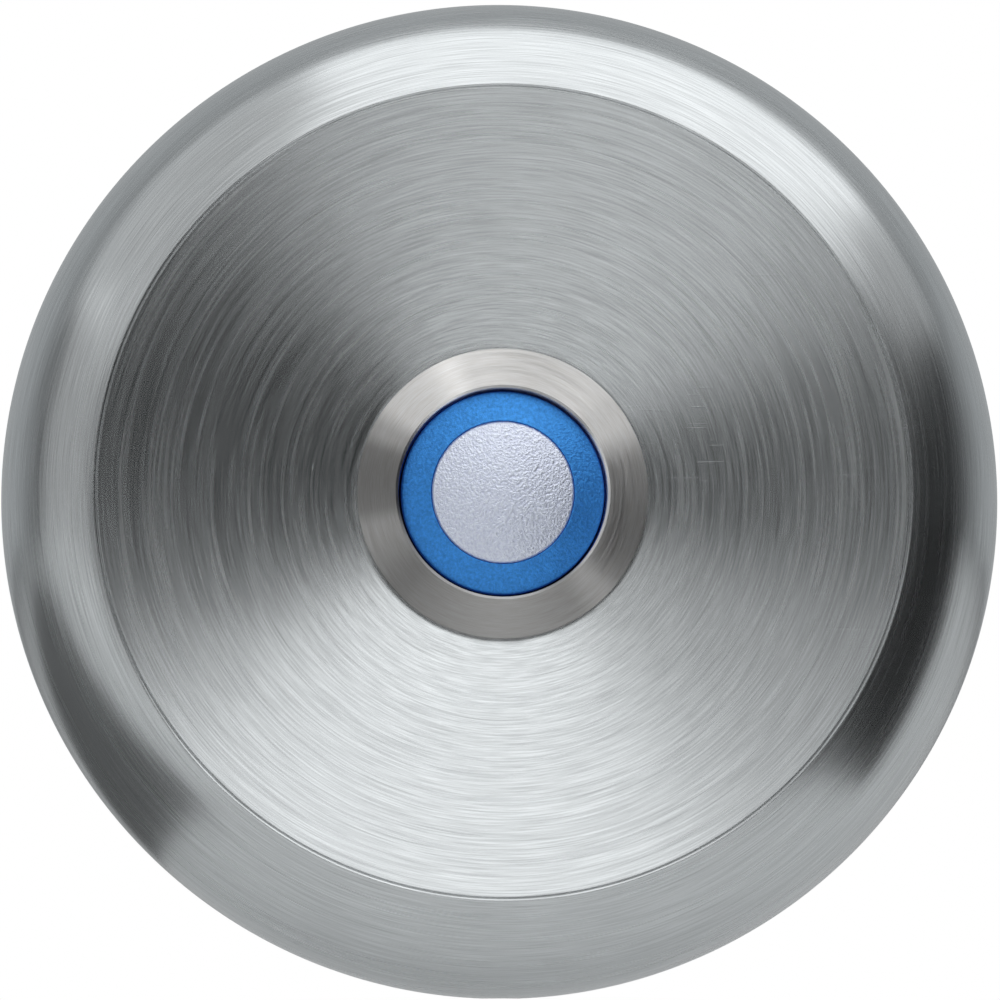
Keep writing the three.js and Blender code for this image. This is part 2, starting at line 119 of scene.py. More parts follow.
@dataclass
class Outline:
    """The half section of a turned piece, drawn corner by corner."""

    closed: bool = True
    hold: float = 0.06
    corners: list[tuple[float, float, float]] = field(default_factory=list)

    def to(self, radius: float, height: float, fillet: float = 0.0) -> "Outline":
        """Draws on to a corner.

        Args:
            radius: Distance from the axis, in millimetres.
            height: Height above the wall, in millimetres.
            fillet: Radius that rounds the corner off.

        Returns:
            The outline itself, so that corners can be chained.
        """
        self.corners.append((radius, height, fillet))
        return self

    def arc(self, radius: float, height: float, bend: float, start: float, end: float,
            steps: int) -> "Outline":
        """Draws on along an arc.

        Args:
            radius: Distance of the arc's centre from the axis.
            height: Height of the arc's centre.
            bend: Radius of the arc.
            start: Angle of its first point, from straight forwards towards the outside, in degrees.
            end: Angle of its last point.
            steps: Number of straight facets.

        Returns:
            The outline itself.
        """
        for i in range(steps + 1):
            angle = math.radians(start + (end - start) * i / steps)
            self.to(radius + bend * math.sin(angle), height + bend * math.cos(angle))
        return self

    def points(self) -> list[Vector]:
        """Works out the outline, fillets rounded, with a holding point beside each long corner.

        Returns:
            The points in metres, where the spin starts.
        """
        flat = [Vector((r, h)) for r, h, _ in self.corners]
        count = len(flat)
        rounded: list[list[Vector]] = []
        for i, (r, h, fillet) in enumerate(self.corners):
            inner_corner = self.closed or 0 < i < count - 1
            if fillet and inner_corner:
                rounded.append(self._round(flat[i - 1], flat[i], flat[(i + 1) % count], fillet))
            else:
                rounded.append([flat[i]])
        held: list[Vector] = []
        last = count if self.closed else count - 1
        for i in range(count):
            held.extend(rounded[i])
            if i < last:
                start, end = rounded[i][-1], rounded[(i + 1) % count][0]
                run = end - start
                if run.length > 5 * self.hold:
                    step = run.normalized() * self.hold
                    held.extend([start + step, end - step])
        return [Vector((p.x * MM, -p.y * MM, 0.0)) for p in held]

    @staticmethod
    def _round(before: Vector, corner: Vector, after: Vector, fillet: float) -> list[Vector]:
        """Rounds a corner off.

        Args:
            before: The corner before it.
            corner: The corner.
            after: The corner after it.
            fillet: Radius of the rounding.

        Returns:
            The points of the arc.
        """
        to_before = (before - corner).normalized()
        to_after = (after - corner).normalized()
        opening = to_before.angle(to_after)
        reach = fillet / math.tan(opening / 2)
        centre = corner + (to_before + to_after).normalized() * (fillet / math.sin(opening / 2))
        start = corner + to_before * reach - centre
        sweep = start.angle_signed(corner + to_after * reach - centre)
        steps = max(2, math.ceil(abs(sweep) / math.radians(18)))
        turns = [Matrix.Rotation(-sweep * k / steps, 2) for k in range(steps + 1)]
        return [centre + turn @ start for turn in turns]


def turned(outline: Outline, steps: int, sweep: float = TURN) -> bmesh.types.BMesh:
    """Spins an outline about the button's axis.

    Args:
        outline: The half section.
        steps: Number of facets round the axis.
        sweep: Angle to turn through, in radians. Less than a turn leaves capped ends.

    Returns:
        The turned mesh.
    """
    bm = bmesh.new()
    verts = [bm.verts.new(point) for point in outline.points()]
    edges = [bm.edges.new(pair) for pair in zip(verts, verts[1:])]
    if outline.closed:
        edges.append(bm.edges.new((verts[-1], verts[0])))
    whole = sweep == TURN
    bmesh.ops.spin(bm, geom=verts + edges, cent=(0, 0, 0), axis=(0, 1, 0), dvec=(0, 0, 0),
                   angle=sweep, steps=steps, use_merge=whole, use_duplicate=False)
    bmesh.ops.remove_doubles(bm, verts=bm.verts, dist=WELD)
    if not whole:
        bmesh.ops.holes_fill(bm, edges=bm.edges, sides=0)
    bmesh.ops.recalc_face_normals(bm, faces=bm.faces)
    return bm


def block(low: Place, high: Place) -> bmesh.types.BMesh:
    """Makes a block between two corners.

    Args:
        low: Corner with the lower x, height and z, in millimetres.
        high: Corner with the higher ones.

    Returns:
        The block.
    """
    bm = bmesh.new()
    spans = [(top - bottom) * MM for bottom, top in zip(low, high)]
    middle = [(top + bottom) / 2 * MM for bottom, top in zip(low, high)]
    lie = Matrix.Translation((middle[0], -middle[1], middle[2])) @ Matrix.Diagonal((*spans, 1.0))
    bmesh.ops.create_cube(bm, size=1.0, matrix=lie)
    return bm


def bar(radius: float, low: float, high: float, x: float, z: float,
        steps: int) -> bmesh.types.BMesh:
    """Makes a round bar that lies along the button's axis.

    Args:
        radius: Radius in millimetres.
        low: Height of its rear end.
        high: Height of its front end.
        x: Place of its own axis to the right.
        z: Place of its own axis upwards.
        steps: Number of facets round it.

    Returns:
        The bar.
    """
    bm = bmesh.new()
    lie = Matrix.Translation((x * MM, -(low + high) / 2 * MM, z * MM)) @ LIE_FORWARD
    bmesh.ops.create_cone(bm, cap_ends=True, segments=steps, radius1=radius * MM,
                          radius2=radius * MM, depth=(high - low) * MM, matrix=lie)
    return bm


def long_hole(width: float, length: float, start: float, end: float, x: float,
              flare: float = 0.0) -> bmesh.types.BMesh:
    """Makes the cutter for a slot with round ends that stands upright.

    Args:
        width: Width of the slot in millimetres.
        length: Its length, ends included.
        start: Height at which the cutter starts.
        end: Height at which it ends, in front of the start or behind it.
        x: Place of the slot to the right of the axis.
        flare: How much the cutter has spread on every side by its end.

    Returns:
        The cutter.
    """
    bm = bmesh.new()
    steps = 48
    lie = Matrix.Translation((x * MM, -(start + end) / 2 * MM, 0)) @ LIE_FORWARD
    lie = lie @ Matrix.Rotation(TURN / steps / 2, 4, "Z")
    bmesh.ops.create_cone(bm, cap_ends=True, segments=steps, radius1=width / 2 * MM,
                          radius2=(width / 2 + flare) * MM, depth=(end - start) * MM, matrix=lie)
    for vert in bm.verts:
        vert.co.z += math.copysign((length - width) / 2 * MM, vert.co.z)
    bmesh.ops.recalc_face_normals(bm, faces=bm.faces)
    return bm


def upright(bm: bmesh.types.BMesh, height: float) -> bmesh.types.BMesh:
    """Turns a mesh made about the button's axis to point straight down.

    Args:
        bm: The mesh.
        height: Height above the wall of its axis, in millimetres.

    Returns:
        The same mesh.
    """
    bmesh.ops.rotate(bm, verts=bm.verts, cent=(0, 0, 0), matrix=Matrix.Rotation(TURN / 4, 3, "X"))
    bmesh.ops.translate(bm, verts=bm.verts, vec=(0, -height * MM, 0))
    return bm


def twist(bm: bmesh.types.BMesh, angle: float, axis: str = "Y") -> bmesh.types.BMesh:
    """Turns a mesh about an axis of the frame.

    Args:
        bm: The mesh.
        angle: Angle in radians.
        axis: Name of the axis.

    Returns:
        The same mesh.
    """
    bmesh.ops.rotate(bm, verts=bm.verts, cent=(0, 0, 0), matrix=Matrix.Rotation(angle, 3, axis))
    return bm


def pushed_out(flat: list[Vector], move: Vector) -> bmesh.types.BMesh:
    """Makes a solid from a flat shape.

    Args:
        flat: Corners of the shape, in metres.
        move: Way and distance that the shape is pushed out.

    Returns:
        The solid.
    """
    bm = bmesh.new()
    face = bm.faces.new([bm.verts.new(point) for point in flat])
    grown = bmesh.ops.extrude_face_region(bm, geom=[face], use_keep_orig=True)
    moved = [item for item in grown["geom"] if isinstance(item, bmesh.types.BMVert)]
    bmesh.ops.translate(bm, verts=moved, vec=move)
    bmesh.ops.recalc_face_normals(bm, faces=bm.faces)
    return bm


def soften(bm: bmesh.types.BMesh, width: float, steps: int = 2) -> bmesh.types.BMesh:
    """Rounds the sharp edges of a mesh.

    Args:
        bm: The mesh.
        width: Width of the rounding, in millimetres.
        steps: Number of facets across it.

    Returns:
        The same mesh.
    """
    sharp = [edge for edge in bm.edges
             if len(edge.link_faces) == 2 and edge.calc_face_angle(0.0) > math.radians(35)]
    bmesh.ops.bevel(bm, geom=sharp, offset=width * MM, offset_type="OFFSET", segments=steps,
                    profile=0.5, affect="EDGES", material=-1, clamp_overlap=True)
    return bm


def join(bm: bmesh.types.BMesh, other: bmesh.types.BMesh, finish: int = 0) -> None:
    """Adds another mesh to a mesh.

    Args:
        bm: The mesh that grows.
        other: The mesh that is added. It is freed.
        finish: Number of the added mesh's finish on the piece.
    """
    for face in other.faces:
        face.material_index = finish
    mesh = bpy.data.meshes.new("joined")
    other.to_mesh(mesh)
    other.free()
    bm.from_mesh(mesh)
    bpy.data.meshes.remove(mesh)


def carve(bm: bmesh.types.BMesh, *cutters: bmesh.types.BMesh,
          operation: str = "DIFFERENCE") -> bmesh.types.BMesh:
    """Cuts meshes out of a mesh.

    Args:
        bm: The mesh. It is freed.
        cutters: The meshes to cut with. They are freed.
        operation: What is done with them.

    Returns:
        The carved mesh.
    """
    holders = []
    for part in (bm, *cutters):
        mesh = bpy.data.meshes.new("blank")
        part.to_mesh(mesh)
        part.free()
        holder = bpy.data.objects.new("blank", mesh)
        bpy.context.scene.collection.objects.link(holder)
        holders.append(holder)
    blank = holders[0]
    for cutter in holders[1:]:
        cut = blank.modifiers.new("cut", "BOOLEAN")
        cut.object = cutter
        cut.operation = operation
        cut.solver = "EXACT"
    carved = bmesh.new()
    carved.from_object(blank, bpy.context.evaluated_depsgraph_get())
    for holder in holders:
        mesh = holder.data
        bpy.data.objects.remove(holder)
        bpy.data.meshes.remove(mesh)
    bmesh.ops.remove_doubles(carved, verts=carved.verts, dist=WELD)
    bmesh.ops.recalc_face_normals(carved, faces=carved.faces)
    return carved


def wind(bm: bmesh.types.BMesh, section: list, turns: float, climb: float,
         per_turn: int) -> list[bmesh.types.BMEdge]:
    """Winds a section up along a helix.

    Args:
        bm: The mesh that the section is in.
        section: The section's geometry.
        turns: Number of turns.
        climb: Height gained over all of them, in millimetres.
        per_turn: Number of facets in a turn.

    Returns:
        The edges of the section at the helix's far end.
    """
    steps = round(per_turn * turns)
    spun = bmesh.ops.spin(bm, geom=section, cent=(0, 0, 0), axis=(0, 1, 0),
                          dvec=(0, -climb * MM / steps, 0), angle=TURN * turns, steps=steps,
                          use_merge=False, use_duplicate=False)
    return [item for item in spun["geom_last"] if isinstance(item, bmesh.types.BMEdge)]


def trim(bm: bmesh.types.BMesh, height: float, side: int) -> list[bmesh.types.BMEdge]:
    """Cuts a mesh off square to the button's axis.

    Args:
        bm: The mesh.
        height: Height of the cut, in millimetres.
        side: 1 to keep what is behind the cut, -1 to keep what is in front of it.

    Returns:
        The edges round the cut.
    """
    bmesh.ops.bisect_plane(bm, geom=bm.verts[:] + bm.edges[:] + bm.faces[:], dist=1e-8,
                           plane_co=(0, -height * MM, 0), plane_no=(0, -side, 0),
                           clear_outer=True)
    return [edge for edge in bm.edges if edge.is_boundary
            and all(abs(vert.co.y + height * MM) < WELD for vert in edge.verts)]


def add_thread(bm: bmesh.types.BMesh, crest: float, root: float, pitch: float, low: float,
               high: float, per_turn: int) -> None:
    """Cuts a thread over the open part of a turned piece.

    Args:
        bm: The turned piece, open between the two ends of the thread.
        crest: Radius of the thread's crest, in millimetres.
        root: Radius of its root.
        pitch: Distance between turns.
        low: Height of the thread's rear end.
        high: Height of its front end.
        per_turn: Number of facets in a turn.
    """
    thread = bmesh.new()
    start = low - 1.5 * pitch
    section = [(crest, 0.0), (crest, 0.14), (root, 0.43), (root, 0.71), (crest, 1.0)]
    verts = [thread.verts.new((radius * MM, -(start + share * pitch) * MM, 0))
             for radius, share in section]
    edges = [thread.edges.new(pair) for pair in zip(verts, verts[1:])]
    turns = math.ceil((high - low) / pitch) + 3
    wind(thread, verts + edges, turns, turns * pitch, per_turn)
    bmesh.ops.remove_doubles(thread, verts=thread.verts, dist=WELD)
    trim(thread, low, -1)
    trim(thread, high, 1)
    join(bm, thread)
    for height in (low, high):
        ends = [edge for edge in bm.edges if edge.is_boundary
                and all(abs(vert.co.y + height * MM) < WELD for vert in edge.verts)]
        bmesh.ops.bridge_loops(bm, edges=ends)
    bmesh.ops.recalc_face_normals(bm, faces=bm.faces)


def make_piece(bm: bmesh.types.BMesh, name: str, finishes: list[bpy.types.Material],
               rides_on: Body | None, nodes: Iterable[str],
               crease: float = 32.0) -> bpy.types.Object:
    """Turns a mesh into a piece that rides on its body and stands for its CAD nodes.

    Args:
        bm: The mesh, in the frame's metres. It is freed.
        name: Name of the piece.
        finishes: Materials of the piece.
        rides_on: Body that it rides on, or None to leave it unattached.
        nodes: CAD nodes that it stands for.
        crease: Angle in degrees above which an edge stays sharp.

    Returns:
        The piece's object.
    """
    limit = math.radians(crease)
    for face in bm.faces:
        face.smooth = True
    for edge in bm.edges:
        edge.smooth = len(edge.link_faces) == 2 and edge.calc_face_angle(0.0) < limit
    mesh = bpy.data.meshes.new(name)
    bm.to_mesh(mesh)
    bm.free()
    for finish in finishes:
        mesh.materials.append(finish)
    piece = bpy.data.objects.new(name, mesh)
    bpy.context.scene.collection.objects.link(piece)
    if rides_on:
        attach(piece, rides_on.value)
    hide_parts(*nodes)
    log.info("%s: %d faces", name, len(mesh.polygons))
    return piece


# ---------------------------------------------------------------------------------------------
# Finishes
# ---------------------------------------------------------------------------------------------


@dataclass(frozen=True)
class Finish:
    """What every finish is: a name, and a material drawn node by node."""

    name: str

    def draw(self, nodes: bpy.types.Nodes, links: bpy.types.NodeLinks) -> None:
        """Draws the finish, which each kind does in its own way."""
        raise NotImplementedError(self.name)

    def material(self) -> bpy.types.Material:
        """Makes the material.

        Returns:
            The material.
        """
        made = bpy.data.materials.new(self.name)
        made.use_nodes = True
        made.node_tree.nodes.clear()
        self.draw(made.node_tree.nodes, made.node_tree.links)
        return made


@dataclass(frozen=True)
class TurnedMetal(Finish):
    """Metal that was turned, or brushed in circles, about the button's axis."""

    colour: Colour
    roughness: float
    anisotropy: float
    line_width: float  # metres across a fine brush line
    line_depth: float  # metres
    contrast: float  # how far a line's brightness strays, as a share
    wear: float  # 0 for new, 1 for well used
    # Hours on the clock, each with the brightness of a painted highlight or painted dark reflection
    # there
    painted_reflection_sectors: tuple[tuple[float, float], ...] = ()  # hour on the clock and brightness there

    def draw(self, nodes: bpy.types.Nodes, links: bpy.types.NodeLinks) -> None:
        """Draws the finish.

        Args:
            nodes: Nodes of the empty material.
            links: Links of the material.
        """
        lay_frame = nodes.new("NodeFrame")
        lay_frame.label = "Round the axis"
        place = nodes.new("ShaderNodeTexCoord")
        place.label = "Place on the piece"
        along = nodes.new("ShaderNodeVectorMath")
        along.label = "Way that the tool went"
        along.operation = "CROSS_PRODUCT"
        along.inputs[1].default_value = (0, 1, 0)
        to_world = nodes.new("ShaderNodeVectorTransform")
        to_world.label = "Brushing direction"
        to_world.vector_type = "VECTOR"
        to_world.convert_from = "OBJECT"
        to_world.convert_to = "WORLD"
        flat = nodes.new("ShaderNodeVectorMath")
        flat.label = "Away from the axis"
        flat.operation = "MULTIPLY"
        flat.inputs[1].default_value = (1, 0, 1)
        radius = nodes.new("ShaderNodeVectorMath")
        radius.label = "Radius"
        radius.operation = "LENGTH"
        clock = nodes.new("ShaderNodeVectorMath")
        clock.label = "Direction round the clock"
        clock.operation = "NORMALIZE"
        depth = nodes.new("ShaderNodeSeparateXYZ")
        depth.label = "Depth"
        across = nodes.new("ShaderNodeMath")
        across.label = "Distance across the lines"
        across.operation = "ADD"
        clock_parts = nodes.new("ShaderNodeSeparateXYZ")
        clock_parts.label = "Clock direction, split"
        lay = nodes.new("ShaderNodeCombineXYZ")
        lay.label = "Brushing space"
        for step, node in enumerate((place, along, to_world, flat, radius, clock, depth, across,
                                     clock_parts, lay)):
            node.parent = lay_frame
            node.location = (-1900 + SPREAD * (step // ROWS), 260 - SPREAD * (step % ROWS))
        links.new(place.outputs["Object"], along.inputs[0])
        links.new(along.outputs["Vector"], to_world.inputs["Vector"])
        links.new(place.outputs["Object"], flat.inputs[0])
        links.new(flat.outputs["Vector"], radius.inputs[0])
        links.new(flat.outputs["Vector"], clock.inputs[0])
        links.new(place.outputs["Object"], depth.inputs["Vector"])
        links.new(radius.outputs["Value"], across.inputs[0])
        links.new(depth.outputs["Y"], across.inputs[1])
        links.new(clock.outputs["Vector"], clock_parts.inputs["Vector"])
        links.new(clock_parts.outputs["X"], lay.inputs["X"])
        links.new(clock_parts.outputs["Z"], lay.inputs["Y"])
        links.new(across.outputs["Value"], lay.inputs["Z"])

        line_frame = nodes.new("NodeFrame")
        line_frame.label = "Brush lines"
        fine_space = nodes.new("ShaderNodeVectorMath")
        fine_space.label = "Long and thin"
        fine_space.operation = "MULTIPLY"
        fine_space.inputs[1].default_value = (6, 6, 1 / self.line_width)
        fine = nodes.new("ShaderNodeTexNoise")
        fine.label = "Fine brush lines"
        fine.inputs["Scale"].default_value = 1.0
        fine.inputs["Detail"].default_value = 2.0
        fine.inputs["Roughness"].default_value = 0.55
        broad_space = nodes.new("ShaderNodeVectorMath")
        broad_space.label = "Longer and broader"
        broad_space.operation = "MULTIPLY"
        broad_space.inputs[1].default_value = (1.6, 1.6, 0.4 / self.line_width)
        broad = nodes.new("ShaderNodeTexNoise")
        broad.label = "Broad turning marks"
        broad.inputs["Scale"].default_value = 1.0
        broad.inputs["Detail"].default_value = 2.0
        deep_space = nodes.new("ShaderNodeVectorMath")
        deep_space.label = "Short and sharp"
        deep_space.operation = "MULTIPLY"
        deep_space.inputs[1].default_value = (2.6, 2.6, 0.7 / self.line_width)
        deep = nodes.new("ShaderNodeTexNoise")
        deep.label = "Stray deeper lines"
        deep.inputs["Scale"].default_value = 1.0
        deep.inputs["Detail"].default_value = 1.0
        deep_cut = nodes.new("ShaderNodeMapRange")
        deep_cut.label = "Only the deepest"
        deep_cut.inputs["From Min"].default_value = 0.64
        deep_cut.inputs["From Max"].default_value = 0.78
        for step, node in enumerate((fine_space, fine, broad_space, broad, deep_space, deep,
                                     deep_cut)):
            node.parent = line_frame
            node.location = (-900 + SPREAD * (step // ROWS), 160 - SPREAD * (step % ROWS))
        links.new(lay.outputs["Vector"], fine_space.inputs[0])
        links.new(fine_space.outputs["Vector"], fine.inputs["Vector"])
        links.new(lay.outputs["Vector"], broad_space.inputs[0])
        links.new(broad_space.outputs["Vector"], broad.inputs["Vector"])
        links.new(lay.outputs["Vector"], deep_space.inputs[0])
        links.new(deep_space.outputs["Vector"], deep.inputs["Vector"])
        links.new(deep.outputs["Fac"], deep_cut.inputs["Value"])

        wear_frame = nodes.new("NodeFrame")
        wear_frame.label = "Scratches and pits"
        slant = nodes.new("ShaderNodeMapping")
        slant.label = "Scratch direction"
        slant.inputs["Rotation"].default_value = (0, math.radians(38), 0)
        slant.inputs["Scale"].default_value = (260, 260, 9000)
        hairs = nodes.new("ShaderNodeTexNoise")
        hairs.label = "Stray hairline scratches"
        hairs.inputs["Scale"].default_value = 1.0
        hairs.inputs["Detail"].default_value = 0.0
        hairs.inputs["Distortion"].default_value = 0.3
        hair_line = nodes.new("ShaderNodeMapRange")
        hair_line.label = "Hair width"
        hair_line.inputs["From Min"].default_value = 0.72
        hair_line.inputs["From Max"].default_value = 0.8
        patches = nodes.new("ShaderNodeTexNoise")
        patches.label = "Where it was knocked"
        patches.inputs["Scale"].default_value = 95.0
        patches.inputs["Detail"].default_value = 2.0
        patch_cut = nodes.new("ShaderNodeMapRange")
        patch_cut.label = "Few places"
        patch_cut.inputs["From Min"].default_value = 0.56
        patch_cut.inputs["From Max"].default_value = 0.7
        patch_cut.inputs["To Max"].default_value = self.wear
        scratches = nodes.new("ShaderNodeMath")
        scratches.label = "Scratches there"
        scratches.operation = "MULTIPLY"
        pits = nodes.new("ShaderNodeTexVoronoi")
        pits.label = "Sparse pits"
        pits.inputs["Scale"].default_value = 75.0
        pit_cut = nodes.new("ShaderNodeMapRange")
        pit_cut.label = "Pit size"
        pit_cut.inputs["From Min"].default_value = 0.008
        pit_cut.inputs["From Max"].default_value = 0.02
        pit_cut.inputs["To Min"].default_value = self.wear
        pit_cut.inputs["To Max"].default_value = 0.0
        for step, node in enumerate((slant, hairs, hair_line, patches, patch_cut, scratches, pits,
                                     pit_cut)):
            node.parent = wear_frame
            node.location = (-900 + SPREAD * (step // ROWS), -620 - SPREAD * (step % ROWS))
        links.new(place.outputs["Object"], slant.inputs["Vector"])
        links.new(slant.outputs["Vector"], hairs.inputs["Vector"])
        links.new(hairs.outputs["Fac"], hair_line.inputs["Value"])
        links.new(place.outputs["Object"], patches.inputs["Vector"])
        links.new(patches.outputs["Fac"], patch_cut.inputs["Value"])
        links.new(hair_line.outputs["Result"], scratches.inputs[0])
        links.new(patch_cut.outputs["Result"], scratches.inputs[1])
        links.new(place.outputs["Object"], pits.inputs["Vector"])
        links.new(pits.outputs["Distance"], pit_cut.inputs["Value"])

        relief_frame = nodes.new("NodeFrame")
        relief_frame.label = "Relief"
        fine_height = nodes.new("ShaderNodeMath")
        fine_height.label = "Fine and broad lines"
        fine_height.operation = "MULTIPLY_ADD"
        fine_height.inputs[1].default_value = 0.7
        deep_height = nodes.new("ShaderNodeMath")
        deep_height.label = "Less the deeper lines"
        deep_height.operation = "MULTIPLY_ADD"
        deep_height.inputs[1].default_value = -0.5
        worn_height = nodes.new("ShaderNodeMath")
        worn_height.label = "Less the scratches"
        worn_height.operation = "MULTIPLY_ADD"
        worn_height.inputs[1].default_value = -1.2
        pit_height = nodes.new("ShaderNodeMath")
        pit_height.label = "Less the pits"
        pit_height.operation = "MULTIPLY_ADD"
        pit_height.inputs[1].default_value = -6.0
        relief = nodes.new("ShaderNodeBump")
        relief.label = "Brushed relief"
        relief.inputs["Strength"].default_value = 1.0
        relief.inputs["Distance"].default_value = self.line_depth
        for step, node in enumerate((fine_height, deep_height, worn_height, pit_height, relief)):
            node.parent = relief_frame
            node.location = (-300 + SPREAD * (step // ROWS), 0 - SPREAD * (step % ROWS))
        links.new(broad.outputs["Fac"], fine_height.inputs[0])
        links.new(fine.outputs["Fac"], fine_height.inputs[2])
        links.new(deep_cut.outputs["Result"], deep_height.inputs[0])
        links.new(fine_height.outputs["Value"], deep_height.inputs[2])
        links.new(scratches.outputs["Value"], worn_height.inputs[0])
        links.new(deep_height.outputs["Value"], worn_height.inputs[2])
        links.new(pit_cut.outputs["Result"], pit_height.inputs[0])
        links.new(worn_height.outputs["Value"], pit_height.inputs[2])
        links.new(pit_height.outputs["Value"], relief.inputs["Height"])

        colour_frame = nodes.new("NodeFrame")
        colour_frame.label = "Colour and gloss"
        tone = nodes.new("ShaderNodeMapRange")
        tone.label = "How bright a line is"
        tone.inputs["From Min"].default_value = 0.32
        tone.inputs["From Max"].default_value = 0.68
        metal = nodes.new("ShaderNodeMix")
        metal.label = "Steel, line by line"
        metal.data_type = "RGBA"
        dark = [(1 - self.contrast) * part for part in self.colour]
        light = [min(1.0, (1 + self.contrast) * part) for part in self.colour]
        metal.inputs["A"].default_value = (*dark, 1)
        metal.inputs["B"].default_value = (*light, 1)
        lined = nodes.new("ShaderNodeMix")
        lined.label = "Darker in the deeper lines"
        lined.data_type = "RGBA"
        lined.inputs["B"].default_value = (*[(1 - 1.6 * self.contrast) * c for c in self.colour], 1)
        pitted = nodes.new("ShaderNodeMix")
        pitted.label = "Dark in the pits"
        pitted.data_type = "RGBA"
        pitted.inputs["B"].default_value = (0.03, 0.03, 0.03, 1)
        gloss = nodes.new("ShaderNodeMapRange")
        gloss.label = "Gloss, line by line"
        gloss.inputs["From Min"].default_value = 0.3
        gloss.inputs["From Max"].default_value = 0.7
        gloss.inputs["To Min"].default_value = self.roughness * 0.85
        gloss.inputs["To Max"].default_value = self.roughness * 1.15
        for step, node in enumerate((tone, metal, lined, pitted, gloss)):
            node.parent = colour_frame
            node.location = (-120 + SPREAD * (step // ROWS), 620 - SPREAD * (step % ROWS))
        links.new(fine.outputs["Fac"], tone.inputs["Value"])
        links.new(tone.outputs["Result"], metal.inputs["Factor"])
        links.new(metal.outputs["Result"], lined.inputs["A"])
        links.new(deep_cut.outputs["Result"], lined.inputs["Factor"])
        links.new(lined.outputs["Result"], pitted.inputs["A"])
        links.new(pit_cut.outputs["Result"], pitted.inputs["Factor"])
        links.new(broad.outputs["Fac"], gloss.inputs["Value"])

        # Painted reflections: a ramp round the axis, in Object coordinates, multiplies the colour into
        # bright and dark wedges that stand in for reflections, as painted highlights and painted dark
        # reflections.
        if self.painted_reflection_sectors:
            painted_reflection_frame = nodes.new("NodeFrame")
            painted_reflection_frame.label = "Painted reflections round the clock"
            hour = nodes.new("ShaderNodeMath")
            hour.label = "Angle from the top"
            hour.operation = "ARCTAN2"
            share = nodes.new("ShaderNodeMapRange")
            share.label = "Share of a turn"
            share.inputs["From Min"].default_value = -math.pi
            share.inputs["From Max"].default_value = math.pi
            sheen = nodes.new("ShaderNodeValToRGB")
            sheen.label = "Painted reflection brightness, sector by sector"
            sheen.color_ramp.interpolation = "EASE"
            stops = sheen.color_ramp.elements
            stops.remove(stops[1])
            stops[0].position = 0.0
            stops[0].color = (*[self.painted_reflection_sectors[0][1]] * 3, 1)
            for clock_hour, brightness in self.painted_reflection_sectors[1:]:
                stops.new(clock_hour / 12).color = (*[brightness] * 3, 1)
            painted_reflection_mix = nodes.new("ShaderNodeMix")
            painted_reflection_mix.label = "Steel under painted reflections"
            painted_reflection_mix.data_type = "RGBA"
            painted_reflection_mix.blend_type = "MULTIPLY"
            painted_reflection_mix.inputs["Factor"].default_value = 1.0
            for step, node in enumerate((hour, share, sheen, painted_reflection_mix)):
                node.parent = painted_reflection_frame
                node.location = (60 + SPREAD * (step // ROWS), 900 - SPREAD * (step % ROWS))
            links.new(clock_parts.outputs["X"], hour.inputs[0])
            links.new(clock_parts.outputs["Z"], hour.inputs[1])
            links.new(hour.outputs["Value"], share.inputs["Value"])
            links.new(share.outputs["Result"], sheen.inputs["Fac"])
            links.new(pitted.outputs["Result"], painted_reflection_mix.inputs["A"])
            links.new(sheen.outputs["Color"], painted_reflection_mix.inputs["B"])

        surface = nodes.new("ShaderNodeBsdfPrincipled")
        surface.label = "Brushed metal"
        surface.inputs["Metallic"].default_value = 1.0
        surface.inputs["Anisotropic"].default_value = self.anisotropy
        surface.inputs["Anisotropic Rotation"].default_value = 0.25
        surface.location = (640, 200)
        out = nodes.new("ShaderNodeOutputMaterial")
        out.label = "Surface"
        out.location = (940, 200)
        skin = painted_reflection_mix if self.painted_reflection_sectors else pitted
        links.new(skin.outputs["Result"], surface.inputs["Base Color"])
        links.new(gloss.outputs["Result"], surface.inputs["Roughness"])
        links.new(relief.outputs["Normal"], surface.inputs["Normal"])
        links.new(to_world.outputs["Vector"], surface.inputs["Tangent"])
        links.new(surface.outputs["BSDF"], out.inputs["Surface"])


